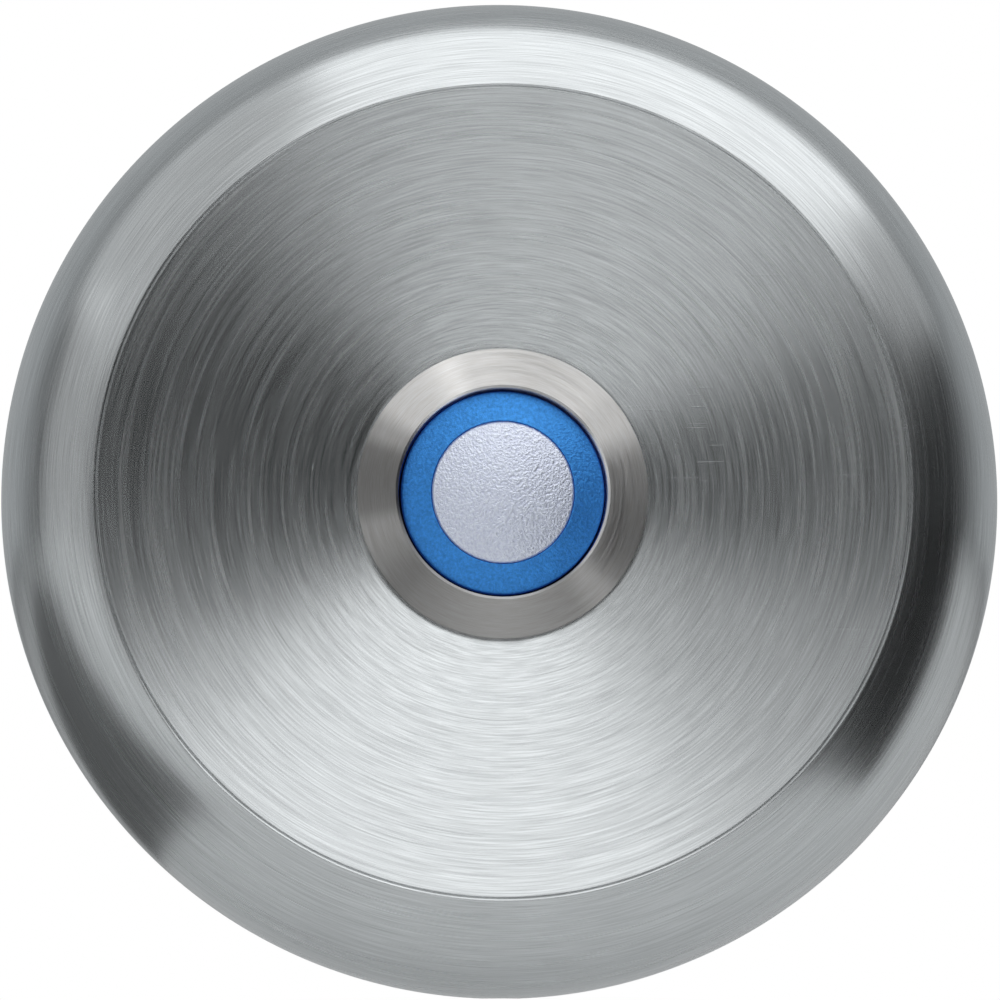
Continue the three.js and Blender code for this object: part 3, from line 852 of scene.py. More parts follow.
@dataclass(frozen=True)
class BlastedMetal(Finish):
    """Silvery metal with the fine even grain of bead blasting."""

    colour: Colour
    roughness: float
    grain: float  # metres across a grain
    grain_depth: float  # metres

    def draw(self, nodes: bpy.types.Nodes, links: bpy.types.NodeLinks) -> None:
        """Draws the finish.

        Args:
            nodes: Nodes of the empty material.
            links: Links of the material.
        """
        grain_frame = nodes.new("NodeFrame")
        grain_frame.label = "Blasted grain"
        place = nodes.new("ShaderNodeTexCoord")
        place.label = "Place on the piece"
        grain = nodes.new("ShaderNodeTexNoise")
        grain.label = "Bead marks"
        grain.inputs["Scale"].default_value = 1 / self.grain
        grain.inputs["Detail"].default_value = 2.5
        grain.inputs["Roughness"].default_value = 0.6
        blotch = nodes.new("ShaderNodeTexNoise")
        blotch.label = "Handled patches"
        blotch.inputs["Scale"].default_value = 0.14 / self.grain
        blotch.inputs["Detail"].default_value = 2.0
        relief = nodes.new("ShaderNodeBump")
        relief.label = "Grain relief"
        relief.inputs["Strength"].default_value = 1.0
        relief.inputs["Distance"].default_value = self.grain_depth
        for step, node in enumerate((place, grain, blotch, relief)):
            node.parent = grain_frame
            node.location = (-900 + SPREAD * (step // ROWS), 120 - SPREAD * (step % ROWS))
        links.new(place.outputs["Object"], grain.inputs["Vector"])
        links.new(place.outputs["Object"], blotch.inputs["Vector"])
        links.new(grain.outputs["Fac"], relief.inputs["Height"])

        colour_frame = nodes.new("NodeFrame")
        colour_frame.label = "Colour and gloss"
        tone = nodes.new("ShaderNodeMapRange")
        tone.label = "Grain contrast"
        tone.inputs["From Min"].default_value = 0.3
        tone.inputs["From Max"].default_value = 0.7
        metal = nodes.new("ShaderNodeMix")
        metal.label = "Silver, grain by grain"
        metal.data_type = "RGBA"
        metal.inputs["A"].default_value = (*[0.86 * c for c in self.colour], 1)
        metal.inputs["B"].default_value = (*[min(1.0, 1.1 * c) for c in self.colour], 1)
        gloss = nodes.new("ShaderNodeMapRange")
        gloss.label = "Gloss where it is handled"
        gloss.inputs["To Min"].default_value = self.roughness * 0.88
        gloss.inputs["To Max"].default_value = self.roughness * 1.1
        for step, node in enumerate((tone, metal, gloss)):
            node.parent = colour_frame
            node.location = (-500 + SPREAD * (step // ROWS), 260 - SPREAD * (step % ROWS))
        links.new(grain.outputs["Fac"], tone.inputs["Value"])
        links.new(tone.outputs["Result"], metal.inputs["Factor"])
        links.new(blotch.outputs["Fac"], gloss.inputs["Value"])

        surface = nodes.new("ShaderNodeBsdfPrincipled")
        surface.label = "Blasted silver"
        surface.inputs["Metallic"].default_value = 0.85
        surface.location = (0, 200)
        out = nodes.new("ShaderNodeOutputMaterial")
        out.label = "Surface"
        out.location = (300, 200)
        links.new(metal.outputs["Result"], surface.inputs["Base Color"])
        links.new(gloss.outputs["Result"], surface.inputs["Roughness"])
        links.new(relief.outputs["Normal"], surface.inputs["Normal"])
        links.new(surface.outputs["BSDF"], out.inputs["Surface"])


@dataclass(frozen=True)
class LitLens(Finish):
    """Frosted plastic with lamps behind it."""

    colour: Colour
    glow: Colour
    glow_strength: float
    roughness: float
    grain: float  # metres across a grain

    def draw(self, nodes: bpy.types.Nodes, links: bpy.types.NodeLinks) -> None:
        """Draws the finish.

        Args:
            nodes: Nodes of the empty material.
            links: Links of the material.
        """
        grain_frame = nodes.new("NodeFrame")
        grain_frame.label = "Frosted grain"
        place = nodes.new("ShaderNodeTexCoord")
        place.label = "Place on the piece"
        grain = nodes.new("ShaderNodeTexNoise")
        grain.label = "Frosting"
        grain.inputs["Scale"].default_value = 1 / self.grain
        grain.inputs["Detail"].default_value = 3.0
        grain.inputs["Roughness"].default_value = 0.65
        relief = nodes.new("ShaderNodeBump")
        relief.label = "Frosted relief"
        relief.inputs["Distance"].default_value = 0.2 * self.grain
        for step, node in enumerate((place, grain, relief)):
            node.parent = grain_frame
            node.location = (-900 + SPREAD * (step // ROWS), 120 - SPREAD * (step % ROWS))
        links.new(place.outputs["Object"], grain.inputs["Vector"])
        links.new(grain.outputs["Fac"], relief.inputs["Height"])

        colour_frame = nodes.new("NodeFrame")
        colour_frame.label = "Colour and glow"
        tone = nodes.new("ShaderNodeMapRange")
        tone.label = "Grain contrast"
        tone.inputs["From Min"].default_value = 0.3
        tone.inputs["From Max"].default_value = 0.7
        tint = nodes.new("ShaderNodeMix")
        tint.label = "Blue, grain by grain"
        tint.data_type = "RGBA"
        tint.inputs["A"].default_value = (*[0.72 * c for c in self.colour], 1)
        tint.inputs["B"].default_value = (*[min(1.0, 1.25 * c) for c in self.colour], 1)
        for step, node in enumerate((tone, tint)):
            node.parent = colour_frame
            node.location = (-500 + SPREAD * (step // ROWS), 260 - SPREAD * (step % ROWS))
        links.new(grain.outputs["Fac"], tone.inputs["Value"])
        links.new(tone.outputs["Result"], tint.inputs["Factor"])

        surface = nodes.new("ShaderNodeBsdfPrincipled")
        surface.label = "Frosted lens"
        surface.inputs["Roughness"].default_value = self.roughness
        surface.inputs["IOR"].default_value = 1.49
        surface.inputs["Metallic"].default_value = 0.8
        surface.inputs["Subsurface Weight"].default_value = 0.35
        surface.inputs["Subsurface Radius"].default_value = (0.3, 0.6, 1.0)
        surface.inputs["Subsurface Scale"].default_value = 0.0015
        surface.inputs["Emission Color"].default_value = (*self.glow, 1)
        surface.inputs["Emission Strength"].default_value = self.glow_strength
        surface.location = (0, 200)
        out = nodes.new("ShaderNodeOutputMaterial")
        out.label = "Surface"
        out.location = (300, 200)
        links.new(tint.outputs["Result"], surface.inputs["Base Color"])
        links.new(relief.outputs["Normal"], surface.inputs["Normal"])
        links.new(surface.outputs["BSDF"], out.inputs["Surface"])


@dataclass(frozen=True)
class FormedMetal(Finish):
    """Metal that was rolled, drawn, plated or blackened."""

    colour: Colour
    roughness: float
    lay: Colour  # scale of the marks along x, y and z, in marks to the metre
    mark_depth: float  # metres
    stain: Colour
    stain_share: float  # 0 for clean, 1 for stained all over

    def draw(self, nodes: bpy.types.Nodes, links: bpy.types.NodeLinks) -> None:
        """Draws the finish.

        Args:
            nodes: Nodes of the empty material.
            links: Links of the material.
        """
        mark_frame = nodes.new("NodeFrame")
        mark_frame.label = "Marks of forming"
        place = nodes.new("ShaderNodeTexCoord")
        place.label = "Place on the piece"
        stretch = nodes.new("ShaderNodeMapping")
        stretch.label = "Way that it was drawn"
        stretch.inputs["Scale"].default_value = self.lay
        marks = nodes.new("ShaderNodeTexNoise")
        marks.label = "Drawing marks"
        marks.inputs["Scale"].default_value = 1.0
        marks.inputs["Detail"].default_value = 4.0
        marks.inputs["Roughness"].default_value = 0.6
        dents = nodes.new("ShaderNodeTexNoise")
        dents.label = "Soft dents"
        dents.inputs["Scale"].default_value = 700.0
        dents.inputs["Detail"].default_value = 1.0
        height = nodes.new("ShaderNodeMath")
        height.label = "Marks on dents"
        height.operation = "MULTIPLY_ADD"
        height.inputs[1].default_value = 0.8
        relief = nodes.new("ShaderNodeBump")
        relief.label = "Relief"
        relief.inputs["Distance"].default_value = self.mark_depth
        for step, node in enumerate((place, stretch, marks, dents, height, relief)):
            node.parent = mark_frame
            node.location = (-1100 + SPREAD * (step // ROWS), 120 - SPREAD * (step % ROWS))
        links.new(place.outputs["Object"], stretch.inputs["Vector"])
        links.new(stretch.outputs["Vector"], marks.inputs["Vector"])
        links.new(place.outputs["Object"], dents.inputs["Vector"])
        links.new(dents.outputs["Fac"], height.inputs[0])
        links.new(marks.outputs["Fac"], height.inputs[2])
        links.new(height.outputs["Value"], relief.inputs["Height"])

        stain_frame = nodes.new("NodeFrame")
        stain_frame.label = "Tarnish"
        cloud = nodes.new("ShaderNodeTexNoise")
        cloud.label = "Tarnished patches"
        cloud.inputs["Scale"].default_value = 260.0
        cloud.inputs["Detail"].default_value = 5.0
        spread = nodes.new("ShaderNodeMapRange")
        spread.label = "How far it has spread"
        spread.inputs["From Min"].default_value = 0.68 - 0.4 * self.stain_share
        spread.inputs["From Max"].default_value = 0.88 - 0.4 * self.stain_share
        spread.inputs["To Max"].default_value = 0.85
        shade = nodes.new("ShaderNodeMapRange")
        shade.label = "Shade of a mark"
        shade.inputs["From Min"].default_value = 0.3
        shade.inputs["From Max"].default_value = 0.7
        metal = nodes.new("ShaderNodeMix")
        metal.label = "Metal, mark by mark"
        metal.data_type = "RGBA"
        metal.inputs["A"].default_value = (*[0.88 * c for c in self.colour], 1)
        metal.inputs["B"].default_value = (*[min(1.0, 1.08 * c) for c in self.colour], 1)
        tarnished = nodes.new("ShaderNodeMix")
        tarnished.label = "Tarnished metal"
        tarnished.data_type = "RGBA"
        tarnished.inputs["B"].default_value = (*self.stain, 1)
        gloss = nodes.new("ShaderNodeMapRange")
        gloss.label = "Duller where tarnished"
        gloss.inputs["To Min"].default_value = self.roughness
        gloss.inputs["To Max"].default_value = min(1.0, self.roughness + 0.25)
        for step, node in enumerate((cloud, spread, shade, metal, tarnished, gloss)):
            node.parent = stain_frame
            node.location = (-700 + SPREAD * (step // ROWS), 460 - SPREAD * (step % ROWS))
        links.new(place.outputs["Object"], cloud.inputs["Vector"])
        links.new(cloud.outputs["Fac"], spread.inputs["Value"])
        links.new(marks.outputs["Fac"], shade.inputs["Value"])
        links.new(shade.outputs["Result"], metal.inputs["Factor"])
        links.new(metal.outputs["Result"], tarnished.inputs["A"])
        links.new(spread.outputs["Result"], tarnished.inputs["Factor"])
        links.new(spread.outputs["Result"], gloss.inputs["Value"])

        surface = nodes.new("ShaderNodeBsdfPrincipled")
        surface.label = "Formed metal"
        surface.inputs["Metallic"].default_value = 1.0
        surface.location = (160, 200)
        out = nodes.new("ShaderNodeOutputMaterial")
        out.label = "Surface"
        out.location = (460, 200)
        links.new(tarnished.outputs["Result"], surface.inputs["Base Color"])
        links.new(gloss.outputs["Result"], surface.inputs["Roughness"])
        links.new(relief.outputs["Normal"], surface.inputs["Normal"])
        links.new(surface.outputs["BSDF"], out.inputs["Surface"])


@dataclass(frozen=True)
class Moulding(Finish):
    """Moulded or cast plastic, resin and chip bodies."""

    colour: Colour
    roughness: float
    grain: float  # metres across a grain of the mould's surface
    grain_depth: float  # metres
    clearness: float  # 0 for opaque, 1 for milky all through
    dust: float  # 0 for clean, 1 for dusty

    def draw(self, nodes: bpy.types.Nodes, links: bpy.types.NodeLinks) -> None:
        """Draws the finish.

        Args:
            nodes: Nodes of the empty material.
            links: Links of the material.
        """
        grain_frame = nodes.new("NodeFrame")
        grain_frame.label = "Surface of the mould"
        place = nodes.new("ShaderNodeTexCoord")
        place.label = "Place on the piece"
        grain = nodes.new("ShaderNodeTexNoise")
        grain.label = "Mould grain"
        grain.inputs["Scale"].default_value = 1 / self.grain
        grain.inputs["Detail"].default_value = 3.0
        sink = nodes.new("ShaderNodeTexNoise")
        sink.label = "Sink marks"
        sink.inputs["Scale"].default_value = 320.0
        sink.inputs["Detail"].default_value = 1.0
        height = nodes.new("ShaderNodeMath")
        height.label = "Grain on sink marks"
        height.operation = "MULTIPLY_ADD"
        height.inputs[1].default_value = 1.6
        relief = nodes.new("ShaderNodeBump")
        relief.label = "Moulded relief"
        relief.inputs["Distance"].default_value = self.grain_depth
        for step, node in enumerate((place, grain, sink, height, relief)):
            node.parent = grain_frame
            node.location = (-1100 + SPREAD * (step // ROWS), 60 - SPREAD * (step % ROWS))
        links.new(place.outputs["Object"], grain.inputs["Vector"])
        links.new(place.outputs["Object"], sink.inputs["Vector"])
        links.new(sink.outputs["Fac"], height.inputs[0])
        links.new(grain.outputs["Fac"], height.inputs[2])
        links.new(height.outputs["Value"], relief.inputs["Height"])

        colour_frame = nodes.new("NodeFrame")
        colour_frame.label = "Colour and dust"
        flow = nodes.new("ShaderNodeTexWave")
        flow.label = "Flow lines"
        flow.inputs["Scale"].default_value = 130.0
        flow.inputs["Distortion"].default_value = 9.0
        flow.inputs["Detail"].default_value = 2.0
        plastic = nodes.new("ShaderNodeMix")
        plastic.label = "Plastic, streak by streak"
        plastic.data_type = "RGBA"
        plastic.inputs["A"].default_value = (*[0.9 * c for c in self.colour], 1)
        plastic.inputs["B"].default_value = (*[min(1.0, 1.1 * c) for c in self.colour], 1)
        settled = nodes.new("ShaderNodeTexNoise")
        settled.label = "Where dust settled"
        settled.inputs["Scale"].default_value = 900.0
        settled.inputs["Detail"].default_value = 6.0
        dusty = nodes.new("ShaderNodeMapRange")
        dusty.label = "Amount of dust"
        dusty.inputs["From Min"].default_value = 0.5
        dusty.inputs["From Max"].default_value = 0.8
        dusty.inputs["To Max"].default_value = 0.3 * self.dust
        dulled = nodes.new("ShaderNodeMix")
        dulled.label = "Dust over plastic"
        dulled.data_type = "RGBA"
        dulled.inputs["B"].default_value = (0.42, 0.4, 0.37, 1)
        gloss = nodes.new("ShaderNodeMapRange")
        gloss.label = "Duller under dust"
        gloss.inputs["From Max"].default_value = 0.3
        gloss.inputs["To Min"].default_value = self.roughness
        gloss.inputs["To Max"].default_value = min(1.0, self.roughness + 0.3)
        for step, node in enumerate((flow, plastic, settled, dusty, dulled, gloss)):
            node.parent = colour_frame
            node.location = (-800 + SPREAD * (step // ROWS), 520 - SPREAD * (step % ROWS))
        links.new(place.outputs["Object"], flow.inputs["Vector"])
        links.new(flow.outputs["Fac"], plastic.inputs["Factor"])
        links.new(place.outputs["Object"], settled.inputs["Vector"])
        links.new(settled.outputs["Fac"], dusty.inputs["Value"])
        links.new(plastic.outputs["Result"], dulled.inputs["A"])
        links.new(dusty.outputs["Result"], dulled.inputs["Factor"])
        links.new(dusty.outputs["Result"], gloss.inputs["Value"])

        surface = nodes.new("ShaderNodeBsdfPrincipled")
        surface.label = "Moulded plastic"
        surface.inputs["IOR"].default_value = 1.5
        surface.inputs["Subsurface Weight"].default_value = self.clearness
        surface.inputs["Subsurface Radius"].default_value = (1.0, 0.9, 0.8)
        surface.inputs["Subsurface Scale"].default_value = 0.001
        surface.location = (0, 200)
        out = nodes.new("ShaderNodeOutputMaterial")
        out.label = "Surface"
        out.location = (300, 200)
        links.new(dulled.outputs["Result"], surface.inputs["Base Color"])
        links.new(gloss.outputs["Result"], surface.inputs["Roughness"])
        links.new(relief.outputs["Normal"], surface.inputs["Normal"])
        links.new(surface.outputs["BSDF"], out.inputs["Surface"])


@dataclass(frozen=True)
class Rubber(Finish):
    """Black sealing rubber with a bloom on it."""

    colour: Colour
    roughness: float
    grain: float  # metres across a grain
    bloom: float  # 0 for new, 1 for well bloomed

    def draw(self, nodes: bpy.types.Nodes, links: bpy.types.NodeLinks) -> None:
        """Draws the finish.

        Args:
            nodes: Nodes of the empty material.
            links: Links of the material.
        """
        grain_frame = nodes.new("NodeFrame")
        grain_frame.label = "Skin of the rubber"
        place = nodes.new("ShaderNodeTexCoord")
        place.label = "Place on the piece"
        grain = nodes.new("ShaderNodeTexVoronoi")
        grain.label = "Pebbled skin"
        grain.inputs["Scale"].default_value = 1 / self.grain
        relief = nodes.new("ShaderNodeBump")
        relief.label = "Pebbled relief"
        relief.inputs["Strength"].default_value = 0.6
        relief.inputs["Distance"].default_value = 0.12 * self.grain
        for step, node in enumerate((place, grain, relief)):
            node.parent = grain_frame
            node.location = (-1000 + SPREAD * (step // ROWS), 0 - SPREAD * (step % ROWS))
        links.new(place.outputs["Object"], grain.inputs["Vector"])
        links.new(grain.outputs["Distance"], relief.inputs["Height"])

        colour_frame = nodes.new("NodeFrame")
        colour_frame.label = "Bloom"
        cloud = nodes.new("ShaderNodeTexNoise")
        cloud.label = "Where it has bloomed"
        cloud.inputs["Scale"].default_value = 420.0
        cloud.inputs["Detail"].default_value = 4.0
        spread = nodes.new("ShaderNodeMapRange")
        spread.label = "Amount of bloom"
        spread.inputs["From Min"].default_value = 0.42
        spread.inputs["From Max"].default_value = 0.75
        spread.inputs["To Max"].default_value = 0.35 * self.bloom
        rubber = nodes.new("ShaderNodeMix")
        rubber.label = "Bloomed rubber"
        rubber.data_type = "RGBA"
        rubber.inputs["A"].default_value = (*self.colour, 1)
        rubber.inputs["B"].default_value = (0.16, 0.16, 0.155, 1)
        for step, node in enumerate((cloud, spread, rubber)):
            node.parent = colour_frame
            node.location = (-760 + SPREAD * (step // ROWS), 260 - SPREAD * (step % ROWS))
        links.new(place.outputs["Object"], cloud.inputs["Vector"])
        links.new(cloud.outputs["Fac"], spread.inputs["Value"])
        links.new(spread.outputs["Result"], rubber.inputs["Factor"])

        surface = nodes.new("ShaderNodeBsdfPrincipled")
        surface.label = "Rubber"
        surface.inputs["Roughness"].default_value = self.roughness
        surface.inputs["IOR"].default_value = 1.52
        surface.inputs["Sheen Weight"].default_value = 0.12
        surface.inputs["Sheen Roughness"].default_value = 0.4
        surface.location = (0, 160)
        out = nodes.new("ShaderNodeOutputMaterial")
        out.label = "Surface"
        out.location = (300, 160)
        links.new(rubber.outputs["Result"], surface.inputs["Base Color"])
        links.new(relief.outputs["Normal"], surface.inputs["Normal"])
        links.new(surface.outputs["BSDF"], out.inputs["Surface"])


@dataclass(frozen=True)
class VarnishedBoard(Finish):
    """Glass-cloth circuit board under solder varnish."""

    colour: Colour
    weave: float  # metres from one thread of the cloth to the next

    def draw(self, nodes: bpy.types.Nodes, links: bpy.types.NodeLinks) -> None:
        """Draws the finish.

        Args:
            nodes: Nodes of the empty material.
            links: Links of the material.
        """
        weave_frame = nodes.new("NodeFrame")
        weave_frame.label = "Glass cloth"
        place = nodes.new("ShaderNodeTexCoord")
        place.label = "Place on the piece"
        warp = nodes.new("ShaderNodeTexWave")
        warp.label = "Warp"
        warp.bands_direction = "X"
        warp.inputs["Scale"].default_value = 0.314 / self.weave
        warp.inputs["Distortion"].default_value = 0.6
        weft = nodes.new("ShaderNodeTexWave")
        weft.label = "Weft"
        weft.bands_direction = "Z"
        weft.inputs["Scale"].default_value = 0.314 / self.weave
        weft.inputs["Distortion"].default_value = 0.6
        cloth = nodes.new("ShaderNodeMath")
        cloth.label = "Cloth"
        cloth.operation = "MAXIMUM"
        relief = nodes.new("ShaderNodeBump")
        relief.label = "Cloth under the varnish"
        relief.inputs["Strength"].default_value = 0.35
        relief.inputs["Distance"].default_value = 0.00001
        tint = nodes.new("ShaderNodeMix")
        tint.label = "Varnish, thread by thread"
        tint.data_type = "RGBA"
        tint.inputs["A"].default_value = (*[0.93 * c for c in self.colour], 1)
        tint.inputs["B"].default_value = (*self.colour, 1)
        for step, node in enumerate((place, warp, weft, cloth, relief, tint)):
            node.parent = weave_frame
            node.location = (-1100 + SPREAD * (step // ROWS), 160 - SPREAD * (step % ROWS))
        links.new(place.outputs["Object"], warp.inputs["Vector"])
        links.new(place.outputs["Object"], weft.inputs["Vector"])
        links.new(warp.outputs["Fac"], cloth.inputs[0])
        links.new(weft.outputs["Fac"], cloth.inputs[1])
        links.new(cloth.outputs["Value"], relief.inputs["Height"])
        links.new(cloth.outputs["Value"], tint.inputs["Factor"])

        surface = nodes.new("ShaderNodeBsdfPrincipled")
        surface.label = "Varnished board"
        surface.inputs["Roughness"].default_value = 0.42
        surface.inputs["Coat Weight"].default_value = 0.4
        surface.inputs["Coat Roughness"].default_value = 0.15
        surface.location = (-60, 120)
        out = nodes.new("ShaderNodeOutputMaterial")
        out.label = "Surface"
        out.location = (240, 120)
        links.new(tint.outputs["Result"], surface.inputs["Base Color"])
        links.new(relief.outputs["Normal"], surface.inputs["Normal"])
        links.new(surface.outputs["BSDF"], out.inputs["Surface"])


@dataclass(frozen=True)
class Paper(Finish):
    """Matt studio paper."""

    shade: float

    def draw(self, nodes: bpy.types.Nodes, links: bpy.types.NodeLinks) -> None:
        """Draws the finish.

        Args:
            nodes: Nodes of the empty material.
            links: Links of the material.
        """
        place = nodes.new("ShaderNodeTexCoord")
        place.label = "Place on the sheet"
        place.location = (-800, 0)
        fibre = nodes.new("ShaderNodeTexNoise")
        fibre.label = "Fibres"
        fibre.inputs["Scale"].default_value = 2600.0
        fibre.inputs["Detail"].default_value = 3.0
        fibre.location = (-600, 0)
        shade = nodes.new("ShaderNodeMix")
        shade.label = "Paper, fibre by fibre"
        shade.data_type = "RGBA"
        shade.inputs["A"].default_value = (*[0.97 * self.shade] * 3, 1)
        shade.inputs["B"].default_value = (*[self.shade] * 3, 1)
        shade.location = (-380, 0)
        surface = nodes.new("ShaderNodeBsdfPrincipled")
        surface.label = "Matt paper"
        surface.inputs["Roughness"].default_value = 0.9
        surface.inputs["Specular IOR Level"].default_value = 0.2
        surface.location = (-140, 0)
        out = nodes.new("ShaderNodeOutputMaterial")
        out.label = "Surface"
        out.location = (140, 0)
        links.new(place.outputs["Object"], fibre.inputs["Vector"])
        links.new(fibre.outputs["Fac"], shade.inputs["Factor"])
        links.new(shade.outputs["Result"], surface.inputs["Base Color"])
        links.new(surface.outputs["BSDF"], out.inputs["Surface"])


PLATE_STEEL = TurnedMetal("brushed_steel", (0.555, 0.58, 0.59), 0.25, 0.5, 0.00009, 0.0000012, 0.15, 1.0)
# Painted reflections on the head: hours counted clockwise from the bottom, where each painted highlight
# or painted dark reflection begins and ends, with its brightness.
HEAD_PAINTED_REFLECTIONS = ((0.0, 0.45), (1.5, 0.31), (2.5, 0.52), (2.8, 0.36), (3.6, 0.34), (3.9, 0.55),
                (4.3, 1.0), (5.0, 1.0), (5.6, 0.62), (6.5, 0.52), (7.6, 0.6), (8.1, 1.0),
                (8.9, 1.0), (10.0, 0.93), (11.0, 0.38), (12.0, 0.45))
HEAD_STEEL = TurnedMetal("turned_steel", (0.97, 0.95, 0.92), 0.4, 0.9, 0.00008, 0.0000005, 0.1, 0.1,
                         HEAD_PAINTED_REFLECTIONS)
CAP_SILVER = BlastedMetal("blasted_silver", (0.76, 0.81, 1.0), 0.36, 0.0002, 0.00012)
RING_BLUE = LitLens("blue_lens", (0.05, 0.27, 0.66), (0.01, 0.06, 0.5), 0.12, 0.36, 0.00022)
WALL_ALUMINIUM = FormedMetal("rolled_aluminium", (0.72, 0.73, 0.74), 0.36, (900, 900, 9000),
                             0.000004, (0.4, 0.4, 0.39), 0.3)
BLACK_OXIDE = FormedMetal("blackened_steel", (0.035, 0.036, 0.04), 0.4, (9000, 9000, 9000),
                          0.000004, (0.1, 0.055, 0.03), 0.25)
ZINC = FormedMetal("zinc_plate", (0.6, 0.62, 0.64), 0.32, (5000, 5000, 5000), 0.000003,
                   (0.45, 0.44, 0.4), 0.45)
NICKEL = FormedMetal("nickel_plate", (0.66, 0.62, 0.55), 0.22, (3000, 20000, 3000), 0.000002,
                     (0.4, 0.36, 0.28), 0.25)
SPRING_STEEL = FormedMetal("spring_steel", (0.56, 0.55, 0.53), 0.26, (12000, 12000, 12000),
                           0.000002, (0.3, 0.26, 0.2), 0.3)
TIN = FormedMetal("tin_plate", (0.74, 0.73, 0.7), 0.3, (5000, 9000, 5000), 0.000003,
                  (0.5, 0.48, 0.43), 0.4)
BRONZE = FormedMetal("rolled_bronze", (0.72, 0.45, 0.26), 0.28, (1200, 9000, 12000), 0.000002,
                     (0.35, 0.19, 0.1), 0.35)
SILVER = FormedMetal("contact_silver", (0.88, 0.86, 0.82), 0.2, (9000, 9000, 9000), 0.000002,
                     (0.35, 0.3, 0.24), 0.3)
NYLON = Moulding("black_nylon", (0.022, 0.022, 0.024), 0.46, 0.00012, 0.000008, 0.0, 0.6)
ACETAL = Moulding("white_acetal", (0.8, 0.79, 0.75), 0.34, 0.00015, 0.000004, 0.3, 0.2)
RESIN = Moulding("black_resin", (0.014, 0.014, 0.016), 0.14, 0.0009, 0.00002, 0.0, 0.4)
LAMP_BODY = Moulding("lamp_body", (0.85, 0.84, 0.8), 0.4, 0.00008, 0.000002, 0.1, 0.1)
LAMP_GEL = Moulding("lamp_gel", (0.85, 0.62, 0.08), 0.12, 0.0004, 0.000003, 0.6, 0.0)
RESISTOR = Moulding("resistor_glaze", (0.02, 0.021, 0.026), 0.22, 0.0001, 0.000002, 0.0, 0.1)
GASKET_RUBBER = Rubber("gasket_rubber", (0.025, 0.025, 0.026), 0.62, 0.00035, 0.8)
SEAL_RUBBER = Rubber("seal_rubber", (0.018, 0.018, 0.019), 0.42, 0.0002, 0.5)
BOARD = VarnishedBoard("white_board", (0.82, 0.83, 0.82), 0.0004)
FLOOR_PAPER = Paper("floor_paper", 0.84)
FLAG_CLOTH = Paper("flag_cloth", 0.015)
GREY_CARD = Paper("grey_card", 0.17)


# ---------------------------------------------------------------------------------------------
# Cover and wall fixings
# ---------------------------------------------------------------------------------------------


@dataclass
class Cover:
    """The dished steel cover with its ridge and rounded rim."""

    ridge_radius: float = 30.8
    rim_tilt: float = 12.0
    widest_height: float = 4.6
    side_taper: float = 8.0
    seat_radius: float = 11.4
    seat_tightening: float = 0.25
    ridge_step: float = 0.12
    line_groove: float = 0.13
    bore_radius: float = 9.65
    cavity_radius: float = 33.0
    gasket_inner: float = 33.9
    gasket_outer: float = 36.9
    gasket_depth: float = 1.0
    dish_slope: float = 9.2
    web: float = 3.0
    roof_radius: float = 27.0
    nut_seat_radius: float = 14.0
    screw_height: float = 3.3
    screw_hole_radius: float = 1.56
    steps: int = 360

    def outline(self) -> Outline:
        """Draws the cover's half section.

        Returns:
            The outline.
        """
        widest = outer("escutcheon")
        bend = (widest - self.ridge_radius) / (1 - math.sin(math.radians(self.rim_tilt)))
        ridge = front("escutcheon")
        back = rear("escutcheon")
        slope = math.tan(math.radians(self.dish_slope))
        seat = ridge - (self.ridge_radius - self.seat_radius) * slope
        web_back = seat - self.web
        roof = web_back + (self.roof_radius - self.nut_seat_radius) * slope
        taper = math.radians(self.side_taper)
        end_radius = widest - bend + bend * math.cos(taper)
        end_height = self.widest_height - bend * math.sin(taper)
        groove = back + self.gasket_depth
        line = Outline()
        line.to(self.bore_radius, web_back, 0.2)
        line.to(self.bore_radius, seat, 0.2)
        line.to(self.seat_radius - self.seat_tightening, seat, 0.1)
        foot = self.ridge_radius - self.line_groove - self.ridge_step
        face = seat + (foot - self.seat_radius) * slope
        line.to(foot, face, 0.03)
        line.to(foot + 0.02, face - self.line_groove)
        line.to(foot + self.line_groove, face - self.line_groove)
        line.to(foot + self.line_groove + 0.02, face)
        line.to(self.ridge_radius - 0.02, ridge - 0.02)
        line.arc(widest - bend, self.widest_height, bend, self.rim_tilt + 0.2,
                 90 + self.side_taper, 44)
        line.to(end_radius - (end_height - back) * math.tan(taper), back, 0.25)
        line.to(self.gasket_outer, back, 0.1)
        line.to(self.gasket_outer, groove, 0.2)
        line.to(self.gasket_inner, groove, 0.2)
        line.to(self.gasket_inner, back, 0.1)
        line.to(self.cavity_radius, back, 0.2)
        line.to(self.cavity_radius, roof - 2.6, 0.6)
        line.to(self.cavity_radius - 1.8, roof - 0.6, 0.8)
        line.to(self.roof_radius, roof, 1.0)
        line.to(self.nut_seat_radius, web_back, 0.5)
        return line

    def screw_hole(self) -> bmesh.types.BMesh:
        """Makes the cutter for the lock screw's hole, with its countersink.

        Returns:
            The cutter.
        """
        skin = outer("escutcheon") - 0.15
        hole = Outline(closed=False)
        hole.to(0, self.cavity_radius - 2)
        hole.to(self.screw_hole_radius, self.cavity_radius - 2)
        hole.to(self.screw_hole_radius, skin - 0.25)
        hole.to(self.screw_hole_radius + 1.2, skin + 0.95)
        hole.to(0, skin + 0.95)
        return upright(turned(hole, 48), self.screw_height)

    def build(self) -> None:
        """Turns the cover and drills it for the lock screw."""
        form = carve(turned(self.outline(), self.steps), self.screw_hole())
        make_piece(form, "steel_cover", [PLATE_STEEL.material()], Body.FIXED, ["escutcheon"])


